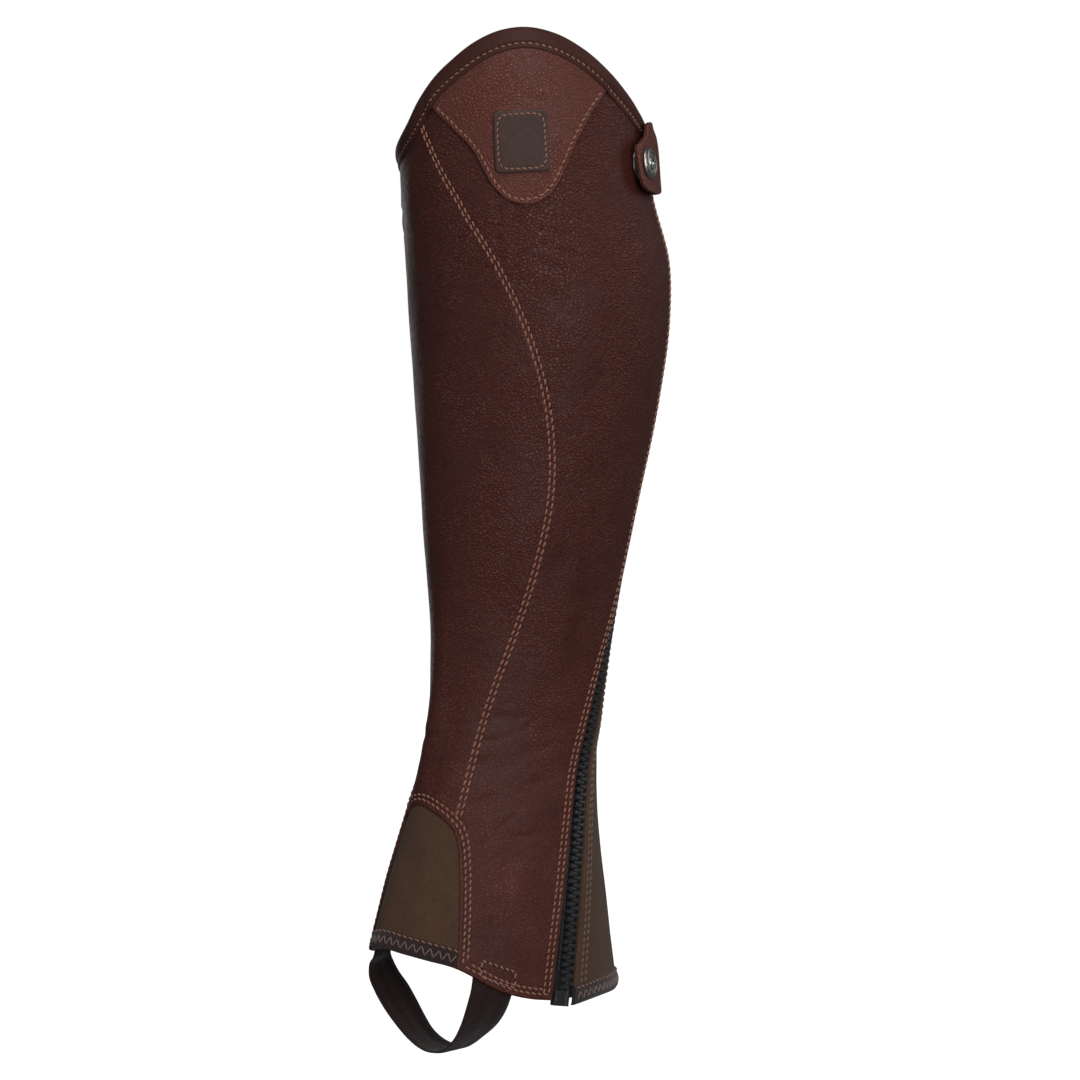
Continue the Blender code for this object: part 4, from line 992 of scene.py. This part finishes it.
def sew(name, rows, material, slot, radius=THREAD_RADIUS):
    """One mesh of all the stitches of these rows, in one thread."""
    start, end, normal = (np.concatenate(part) for part in zip(*rows))
    side = unit(np.cross(unit(end - start), normal))
    centre = (start + end)[:, None] / 2 + (end - start)[:, None] * BIT_STATIONS[:, None] / 2
    centre = centre + normal[:, None] * (BIT_LIFT * radius)[:, None]
    angle = 2 * np.pi * np.arange(BIT_SIDES) / BIT_SIDES
    ring = side[:, None, None] * np.cos(angle)[:, None] + normal[:, None, None] * np.sin(angle)[:, None]
    points = centre[:, :, None] + ring * (BIT_WIDTH * radius)[:, None, None]
    k = np.arange(points[..., 0].size).reshape(points.shape[:3])
    around = np.roll(k, -1, axis=2)
    quads = np.stack((k[:, :-1], k[:, 1:], around[:, 1:], around[:, :-1]), -1).reshape(-1, 4).tolist()
    caps = k[:, 0].tolist() + k[:, -1, ::-1].tolist()
    thread_map = np.stack(np.broadcast_arrays(BIT_STATIONS[:, None], angle, 0.0), -1)
    mesh = make_mesh(name, points * MM, quads + caps, np.broadcast_to(thread_map, points.shape))
    place_piece(mesh, (material,), slot, replaced=False)
    print(name, "has", len(points), "stitches")


def needle_holes(name, rows, slot):
    """One mesh of dark discs, painted shade in the needle holes between the stitches, just on the leather's
    face.
    """
    holes = []
    for start, end, normal in rows:
        near = np.linalg.norm(start[1:] - end[:-1], axis=1) < FRONT_PITCH
        middle = (end[:-1] + start[1:]) / 2 - normal[:-1] * HOLE_SUNK
        holes.append((middle[near], unit(end - start)[:-1][near], normal[:-1][near]))
    centre, along, normal = (np.concatenate(part) for part in zip(*holes))
    side = unit(np.cross(along, normal))
    angle = 2 * np.pi * np.arange(HOLE_SIDES) / HOLE_SIDES
    ring = (along[:, None] * np.cos(angle)[:, None] * HOLE_HALF_LENGTH
            + side[:, None] * np.sin(angle)[:, None] * HOLE_HALF_WIDTH)
    faces = np.arange(len(centre) * HOLE_SIDES).reshape(-1, HOLE_SIDES)[:, ::-1].tolist()
    # Each disc is painted shade: a dark sheet where only the hole's shade falls
    place_piece(make_mesh(name, (centre[:, None] + ring) * MM, faces), (hole_shade,), slot, replaced=False)

# %% [markdown]
# A maker marks the sewing at a set distance from an edge. These functions do the same: they move a
# line of the pattern sideways over the leather and find where it meets another. The moved line takes
# the direction of each of its places, so the rows keep their distance round the arch's corners too.

# %% Sewing lines
def moved_aside(turns, heights, distance):
    """A line of places moved to its left by a distance in millimetres."""
    per_degree = arc(turns, heights)
    run = np.gradient(turns) * per_degree
    rise = np.gradient(heights)
    size = np.hypot(run, rise)
    return turns - rise / size * distance / per_degree, heights + run / size * distance


def down(line, low, high, offset, whole_turns=0):
    """A line down the leg, from a low to a high height, moved round it by an offset."""
    heights = np.linspace(low, high, 500)
    return beside(line, offset, whole_turns)(heights), heights


def meets(line, edge, offset, whole_turns=0, guess=60.0):
    """Height where a line down the leg meets a line round it."""
    height = guess
    for _ in range(30):
        height = float(edge(beside(line, offset, whole_turns)(height)))
    return height


def round_leg(edge, first, last, offset):
    """A line round the leg, moved up by an offset."""
    turns = np.linspace(first, last, 400)
    return turns, edge(turns) + offset


def arch_outline(inner_foot, outer_foot):
    """The gusset's edge from its inner foot over the arch to its outer foot."""
    up, below = np.linspace(inner_foot, JOIN, 120), np.linspace(JOIN, outer_foot, 120)
    over = np.linspace(-19.0, 34.8, 160)
    return (np.concatenate((inner_arch_leg(up), over, arch_leg(below))),
            np.concatenate((up, arch_top(over), below)))


def box_lines(middle_turn, low, high, half_turns, tip):
    """Four sides of a box where the strap is sewn in, tipped with the hem."""
    left, right = middle_turn - half_turns, middle_turn + half_turns
    corners = [(left, low + tip), (right, low - tip), (right, high - tip), (left, high + tip)]
    return [(np.linspace(t0, t1, 30), np.linspace(h0, h1, 30), 0.12)
            for (t0, h0), (t1, h1) in zip(corners, corners[1:] + corners[:1])]


print("the front seam meets the binding at, mm:", round(meets(front_seam, panel_top, 0.0), 1))

# %% [markdown]
# The rows follow the photo: two rows along each curved seam and each hem, two round the gusset's
# arch, two on each side of the zip, one on the shield, the badge and the binding, and a box where the
# strap is sewn in.

# %% Tan sewing
# Each line is its turns, its heights, its distance out and perhaps its pitch
SEAM_OUT = -0.16
tan_lines = []
for line, foot, pitch in ((front_seam, 6.5, FRONT_PITCH), (inner_seam, 7.5, STITCH_PITCH)):
    for offset in (SEAM_ROW, -SEAM_ROW):
        top = meets(line, panel_top, offset) - 0.5
        tan_lines.append((*down(line, JOIN + foot, top, offset), SEAM_OUT, pitch))
for distance, inner_foot, outer_foot in zip(ARCH_ROWS, (-289.5, -287.5), (-294.6, -292.8)):
    turns, heights = moved_aside(*arch_outline(inner_foot, outer_foot), distance)
    tan_lines.append((turns, heights, np.where(turns < -12, -0.32, SEAM_OUT)))
for line in map(front_edge, ZIP_ROWS):
    low, top = meets(line, hem, 0.0, guess=-310.0) + 2.6, meets(line, panel_top, 0.0) - 1
    tan_lines.append((*down(line, low, top, 0.0), SEAM_OUT))
for distance in REAR_ROWS:
    top = meets(rear_seam, panel_top, distance) - 0.5
    tan_lines.append((*down(rear_seam, -311.0, top, distance), SEAM_OUT))
for rise, from_zip in zip(HEM_ROWS, ZIP_ROWS):
    aside = rise * 1.2
    at_zip = float(front_edge(from_zip)(-309.0))
    for first, last in ((51.0 + aside, at_zip), (-188.0 + aside, -27.0 - aside)):
        tan_lines.append((*round_leg(hem, first, last, rise), SEAM_OUT))
turns = np.linspace(shield_from + 2.4, shield_to - 2.4, 300)
tan_lines.append((*moved_aside(turns, shield_low(turns), SHIELD_ROW), SHIELD_OUT + SEAM_OUT))
turns, heights = below_top(np.linspace(-211.0, 141.0, 900), BINDING_ROW)
tan_lines.append((turns, heights, 0.36 + over_shield(turns)))
tan_lines += box_lines(69.2, -303.0, -296.0, 7.6, 3.0)
# The tab's sewn end: one row round a box, walked from corner to corner
SIDE_STEPS = 29
walk = np.arange(4 * SIDE_STEPS) / SIDE_STEPS
turns = np.interp(walk, range(5), (177.5, 186.6, 186.6, 177.5, 177.5))
share = np.interp(walk, range(5), (0.16, 0.16, 0.84, 0.84, 0.16))
tan_lines.append((turns, tab_level(turns, share), tab_face(turns, 45.0) + 0.02))
tan_lines += box_lines(-45.0, -290.0, -283.0, 8.0, -1.0)
tan_rows = [row_of_stitches(*line) for line in tan_lines]
sew("tan_sewing", tan_rows, tan_thread, "outer_panel")
needle_holes("tan_needle_hole_shade", tan_rows, "outer_panel")

# %% [markdown]
# The badge's row uses the same rounded outline, a little way in. On the stretch cloth the thread is
# duller, and both hem bands have a straight row at their top edge and a zigzag over them, which can
# stretch with the cloth.

# %% Sewing on the badge, the stretch cloth and the bands
def squared(wave, power, half):
    """A wave flattened at its ends, so that a circle becomes a box with round corners."""
    return np.clip(np.sign(wave) * np.abs(wave) ** power, -1, 1) * (half - BADGE_ROW)


angles = np.linspace(0, 2 * np.pi, 400)
places = badge_place(squared(np.cos(angles), 0.35, BADGE_HALF), squared(np.sin(angles), 0.30, BADGE_TALL))
badge_rows = [row_of_stitches(*places, BADGE_OUT - 0.2, pitch=2.6)]
sew("badge_sewing", badge_rows, tan_thread, "badge", 0.32)
needle_holes("badge_needle_hole_shade", badge_rows, "badge")

dull_lines = []
for distance in STRETCH_ROWS:
    offset = ZIP_CLEAR + distance
    top = meets(zip_turn, panel_top, offset, -1) - 1
    dull_lines.append((*down(zip_turn, -308.0, top, offset, -1), -0.38))
sew("stretch_sewing", [row_of_stitches(*line) for line in dull_lines], brown_thread, "rear_stretch")

FRONT_BAND, REAR_BAND = (hem, -26.0, 50.3), (rear_hem, -254.0, -192.0)
band_rows = [row_of_stitches(*round_leg(*band, BAND - 1.2), out)
             for band, out in ((FRONT_BAND, -0.52), (REAR_BAND, 0.38))]
sew("band_sewing", band_rows, tan_thread, "front_gusset_hem", 0.3)
zigzag_rows = [zigzag(np.linspace(first, last, 400), edge, out)
               for (edge, first, last), out in ((FRONT_BAND, -0.28), (REAR_BAND, 0.62))]
sew("zigzag_sewing", zigzag_rows, grey_thread, "rear_stretch_hem", 0.26)

# %% [markdown]
# A moulded zip has separate resin teeth, each a stem with a wider head, that lock turn about every
# 1.65 mm: the pitch on one side is 3.3 mm. One tooth is drawn as an outline, thickened and bevelled
# once, then copied along the zip for each side. Below the teeth runs the cord of the tape.

# %% Zip teeth
TOOTH_PITCH = 3.3
TEETH_FOOT, TEETH_TOP = -309.6, 56.0
TOOTH_THICKNESS, TOOTH_OUT = 2.3, -0.6
# Columns: across, half width
HALF_TOOTH = ((-3.7, 0.9), (-1.8, 1.0), (-1.15, 0.64), (-0.5, 0.62), (0.2, 0.84), (0.8, 0.92),
              (1.25, 0.62))


def tooth_mesh():
    """One tooth in millimetres: X across towards the other side, Y up the zip, Z out."""
    outline = [(x, -y) for x, y in HALF_TOOTH] + [(x, y) for x, y in reversed(HALF_TOOTH)]
    shape = bmesh.new()
    floor = shape.faces.new([shape.verts.new((x, y, -TOOTH_THICKNESS)) for x, y in outline])
    raised = bmesh.ops.extrude_face_region(shape, geom=[floor])["geom"]
    bmesh.ops.translate(shape, vec=(0, 0, TOOTH_THICKNESS),
                        verts=[part for part in raised if isinstance(part, bmesh.types.BMVert)])
    bmesh.ops.recalc_face_normals(shape, faces=shape.faces[:])
    top = [e for e in shape.edges if all(v.co.z > -0.01 for v in e.verts)]
    bmesh.ops.bevel(shape, geom=top, offset=0.34, segments=2, affect="EDGES", profile=0.6)
    shape.verts.index_update()
    points = np.array([v.co[:] for v in shape.verts])
    faces = [[v.index for v in f.verts] for f in shape.faces]
    shape.free()
    return points, faces


tooth_points, tooth_faces = tooth_mesh()
heights = np.arange(TEETH_FOOT + 1.2, TEETH_TOP - 0.8, TOOTH_PITCH / 2)
teeth_points, teeth_faces = [], []
for k, height in enumerate(heights):
    side = 1 if k % 2 else -1
    out_axis = form_axes(zip_turn(height), height)[2]
    above, below = (form_point(zip_turn(at), at) for at in (height + 1, height - 1))
    up_axis = unit(above - below)
    axes = np.stack((np.cross(up_axis, out_axis), up_axis, out_axis))
    middle = form_point(zip_turn(height), height) + out_axis * TOOTH_OUT
    teeth_points.append(middle + tooth_points * (-side, 1, 1) @ axes)
    first = k * len(tooth_points)
    teeth_faces += [[first + i for i in (face if side < 0 else face[::-1])] for face in tooth_faces]
mesh = make_mesh("zip_teeth", np.concatenate(teeth_points) * MM, teeth_faces)
place_piece(mesh, (black_resin,), "zip_chain", sharp_over=40)
print("teeth:", len(heights), "each of", len(tooth_faces), "faces")

# %% [markdown]
# The teeth are moulded round a cord at the inner edge of each woven tape, and the tape itself runs
# out under the leather and the stretch cloth, where it is sewn in. Both tapes are made as walls with
# a map for their weave; each swells to its cord near the middle. They end just inside the hem.

# %% Zip tapes and their cords
TAPE_OUT, TAPE_WIDTH, TAPE_THICKNESS = -2.1, 13.6, 1.0
CORD_STEP = 0.75


def tape_foot(turn):
    """Level where the front tape is cut off, just inside the leather's hem."""
    return np.maximum(hem(turn), -312.6) + 0.8


def zip_tape(slot, side):
    """Woven tape on one side of the zip, from the cord outwards."""
    across = np.concatenate((np.linspace(0.25, 3.2, 9), np.linspace(4.2, TAPE_WIDTH, 8)))[::side, None]
    up = np.linspace(0, 1, 300)[None, :]
    turn = zip_turn(-30.0) + 0 * across * up
    for _ in range(12):
        foot = tape_foot(turn) if side < 0 else np.full_like(turn, -313.6)
        height = foot + (panel_top(turn) - foot) * up
        turn = beside(zip_turn, side * across)(height)
    cord = 0.5 * np.exp(-((across - 1.5) / 0.9) ** 2) - CORD_STEP * (across < 3.6)
    front = cloth_point(turn, height, TAPE_OUT + cord)
    back = cloth_point(turn, height, TAPE_OUT - TAPE_THICKNESS - 0.6)
    tape_map = np.stack(np.broadcast_arrays(across, height, 3.0), -1)
    return wall_piece(slot, front, back, tape_map, (zip_cloth,) * 3)


tape_front, tape_rear = zip_tape("zip_tape_front", -1), zip_tape("zip_tape_rear", 1)

# %% [markdown]
# The zip opens at its foot, so it ends in a box: a moulded block that takes the pin of the other
# side. Above it both tapes are stiffened by a smooth film. The block is a bevelled box with a slot
# down its face where the pin goes in, and the pin is a slim rounded bar. The solid of the box is
# narrower than the photo shows, so this one spreads under the leather's edge.

# %% Box and pin at the foot of the zip
SLOT_HALF = 0.35


def rigid_frame(turn, height, out):
    """Frame of a hard piece on the leg: X across, Y up, Z out, in millimetres."""
    across, up, outward = (Vector(axis) for axis in form_axes(turn, height))
    placed = Matrix((across, up, outward)).transposed().to_4x4()
    placed.translation = Vector((form_point(turn, height) + np.array(outward) * out) * MM)
    return placed @ Matrix.Scale(MM, 4)


def place_shape(name, shape, placed, material, slot, sharp_over, replaced):
    """A hard piece made from its edited shape, set down in its frame."""
    shape.transform(placed)
    mesh = bpy.data.meshes.new(name)
    shape.to_mesh(mesh)
    shape.free()
    return place_piece(mesh, (material,), slot, sharp_over, replaced)


def leg_block(name, size, middle, out, bevel, slot_at=None, material=black_resin, replaced=False):
    """Bevelled block on the leg at the foot of the zip; sizes across, up and out in millimetres."""
    aside, height = middle
    turn = float(zip_turn(height)) + aside / float(arc(zip_turn(height), height))
    run = float(zip_turn(height + 1) - zip_turn(height - 1)) * float(arc(turn, height)) / 2
    placed = rigid_frame(turn, height, out - size[2] / 2) @ Matrix.Rotation(-math.atan(run), 4, "Z")
    shape = bmesh.new()
    bmesh.ops.create_cube(shape, size=1.0)
    bmesh.ops.scale(shape, vec=size, verts=shape.verts)
    if slot_at is not None:
        first, last = slot_at - SLOT_HALF, slot_at + SLOT_HALF
        for x in (first, last):
            bmesh.ops.bisect_plane(shape, geom=shape.verts[:] + shape.edges[:] + shape.faces[:],
                                   plane_co=(x, 0, 0), plane_no=(1, 0, 0))
        strip = [f for f in shape.faces if f.normal.z > 0.9 and first < f.calc_center_median().x < last]
        bmesh.ops.inset_region(shape, faces=strip, thickness=0.08, depth=-0.5)
    bmesh.ops.bevel(shape, geom=[e for e in shape.edges if e.calc_face_angle(0) > 1.2], offset=bevel,
                    segments=3, affect="EDGES", profile=0.6)
    return place_shape(name, shape, placed, material, "zip_end_box", 40, replaced)


leg_block("zip_end_box_moulded", (8.1, 6.8, 3.6), (-2.3, -313.0), -0.2, 0.45, slot_at=2.0, replaced=True)
leg_block("zip_pin", (1.7, 9.0, 2.0), (1.4, -306.6), -0.9, 0.4)
film = leg_block("zip_stop_film", (8.8, 9.0, 0.9), (-2.6, -306.0), -1.9, 0.2, material=stop_skin)
print("the film has", len(film.data.polygons), "faces")

# %% [markdown]
# The snap's cap is pressed metal with a raised rim, a ring of fine beads and a sunk middle where the
# spring sits. It is turned from a profile with many more rows than its solid; the beads come from
# letting one of the rings rise and fall. Its seat tilts with the tab.

# %% Snap cap
# Columns: radius, rise
CAP = ((0.0, 1.2), (1.6, 1.2), (1.9, 1.75), (2.3, 2.1), (2.8, 2.15), (3.1, 1.9), (3.3, 1.35), (4.0, 1.2),
       (4.6, 1.35), (4.9, 1.75), (5.3, 1.95), (5.8, 1.9), (6.4, 1.55), (6.9, 1.0), (7.2, 0.5), (7.3, 0.15),
       (7.2, 0.0), (0.0, 0.0))
CAP_SIDES, BEADS, BEAD_RISE, BEADED = 96, 24, 0.12, (3.9, 5.0)

fall = float(tab_face(SNAP_TURN - 3, SNAP_HEIGHT) - tab_face(SNAP_TURN + 3, SNAP_HEIGHT))
slope = math.atan(fall / (6 * float(arc(SNAP_TURN, SNAP_HEIGHT))))
seat = rigid_frame(SNAP_TURN, SNAP_HEIGHT, float(tab_face(SNAP_TURN, SNAP_HEIGHT)) - 0.05)
shape = bmesh.new()
rings = []
for radius, rise in CAP:
    ring = []
    for k in range(CAP_SIDES if radius else 1):
        angle = 2 * math.pi * k / CAP_SIDES
        bead = BEAD_RISE * max(0.0, math.cos(BEADS * angle)) if BEADED[0] < radius < BEADED[1] else 0.0
        ring.append(shape.verts.new((radius * math.cos(angle), radius * math.sin(angle), rise + bead)))
    rings.append(ring)
for upper, lower in zip(rings, rings[1:]):
    for k in range(CAP_SIDES):
        corners = (upper[k % len(upper)], lower[k % len(lower)],
                   lower[(k + 1) % len(lower)], upper[(k + 1) % len(upper)])
        shape.faces.new(list(dict.fromkeys(corners)))
snap_cap = place_shape("snap_cap_pressed", shape, seat @ Matrix.Rotation(slope, 4, "Y"), old_silver,
                       "snap_cap", 50, True)
print("snap cap of", len(snap_cap.data.polygons), "faces, tilted", round(math.degrees(slope), 1), "degrees")

# %% [markdown]
# The slider with its pull and the snap's lower parts already have their real shape as solids. They
# stay, and only take their finish; the snap's lower parts take the lighter copy of the silver, which
# is painted light.

# %% Finishes for the solids that stay
STAYING = {"zip_slider": dark_casting, "zip_pull": dark_casting,
           "snap_socket": painted_light_silver, "snap_stud": painted_light_silver}
for name, material in STAYING.items():
    nodes[name].data.materials.clear()
    nodes[name].data.materials.append(material)
print("solids that stay:", ", ".join(STAYING))

# %% [markdown]
# Each panel above is given the size it was cut to, which spaces the rows of its grid. The figures
# are what shows of each piece, without the seam allowances that are turned in.

# %% [markdown]
# The photo is a studio shot on white, lit from all round by large soft boxes. The strongest stands
# to the right of the camera and draws a broad highlight down the outer side; the shin is in half
# shade. The floor is a pale sweep. The camera stands 2.2 m away, 52 degrees round from the shin and 5
# degrees above level, with a long lens, as a product shot has.

# %% Camera, floor and light
AZIMUTH, ELEVATION, DISTANCE = 52.0, 5.0, 2.2
AIM = Vector((0.0, 0.0, -0.1125))
METRES_PER_PIXEL, PICTURE_PIXELS, SENSOR_MM = 0.00045, 1080, 36.0
FLOOR_HEIGHT, FLOOR_HALF, FLOOR_GREY = -0.40, 40.0, 0.25
ROOM_LIGHT = 0.08
WHITE = (1.0, 1.0, 1.0, 1.0)


def stand(name, data, azimuth, elevation, distance):
    """Put a camera or a light round the object, looking at its middle."""
    a, e = math.radians(azimuth), math.radians(elevation)
    away = Vector((math.sin(a) * math.cos(e), -math.cos(a) * math.cos(e), math.sin(e)))
    item = bpy.data.objects.new(name, data)
    item.location = AIM + away * distance
    item.rotation_mode = "QUATERNION"
    item.rotation_quaternion = away.to_track_quat("Z", "Y")
    bpy.context.collection.objects.link(item)
    return item


camera = stand("camera", bpy.data.cameras.new("camera"), AZIMUTH, ELEVATION, DISTANCE)
camera.data.sensor_width = SENSOR_MM
camera.data.lens = DISTANCE / METRES_PER_PIXEL / PICTURE_PIXELS * SENSOR_MM
camera.data.clip_start, camera.data.clip_end = 0.05, 50.0
bpy.context.scene.camera = camera

pale, tree, shader = new_material("pale_floor", Roughness=0.9, Emission_Strength=1.0, Emission_Color=WHITE,
                                  Base_Color=(FLOOR_GREY, FLOOR_GREY, FLOOR_GREY, 1.0))
corners = np.array([(x * FLOOR_HALF, y * FLOOR_HALF, FLOOR_HEIGHT)
                    for x, y in ((-1, -1), (1, -1), (1, 1), (-1, 1))])
floor_mesh = make_mesh("floor", corners, [(0, 1, 2, 3)])
floor_mesh.materials.append(pale)
floor = bpy.data.objects.new("floor", floor_mesh)
floor.visible_diffuse = False
floor.visible_glossy = False
bpy.context.collection.objects.link(floor)
floor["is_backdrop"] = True

# The backdrop is white to the lens, while the room that lights the leather is dim, as with a cut-out
world = bpy.data.worlds.new("studio")
bpy.context.scene.world = world
world.use_nodes = True
backdrop = world.node_tree.nodes["Background"]
backdrop.inputs["Color"].default_value = WHITE
seen = add(world.node_tree, "ShaderNodeLightPath").outputs["Is Camera Ray"]
room = remap(world.node_tree, seen, (0.0, 1.0), (ROOM_LIGHT, 1.0))
world.node_tree.links.new(room, backdrop.inputs["Strength"])
bpy.context.scene.view_settings.view_transform = "Standard"

# Columns: name, azimuth, elevation, distance, width, height, watts
SOFT_BOXES = (
    ("front_right", 72, 14, 2.3, 1.2, 1.8, 25), ("front_left", -14, -4, 2.0, 0.5, 1.4, 5),
    ("top_front", 56, 60, 1.9, 1.0, 1.0, 8), ("rim_left", 247, 6, 1.9, 0.9, 1.7, 6),
    ("back_right", 160, 20, 2.2, 0.9, 1.4, 5),
)
for name, azimuth, elevation, distance, width, height, watts in SOFT_BOXES:
    light = bpy.data.lights.new(name, "AREA")
    light.shape = "RECTANGLE"
    light.size, light.size_y, light.energy = width, height, watts
    stand(name, light, azimuth, elevation, distance)
print("camera at", [round(c, 3) for c in camera.location], "with", len(SOFT_BOXES), "soft boxes")

# %% [markdown]
# Last, the box round the solids and the box round the dressed part are put side by side, in metres.
# The dressed part may stand out a little, as cloth does, but must keep the solids' size.

# %% Sizes and finish
low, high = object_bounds()
{"cad": [list(cad_low), list(cad_high)], "visual": [list(low), list(high)]}
print("visual box grows by, mm:", [round(v * 1000, 2) for v in (*(cad_low - low), *(high - cad_high))])
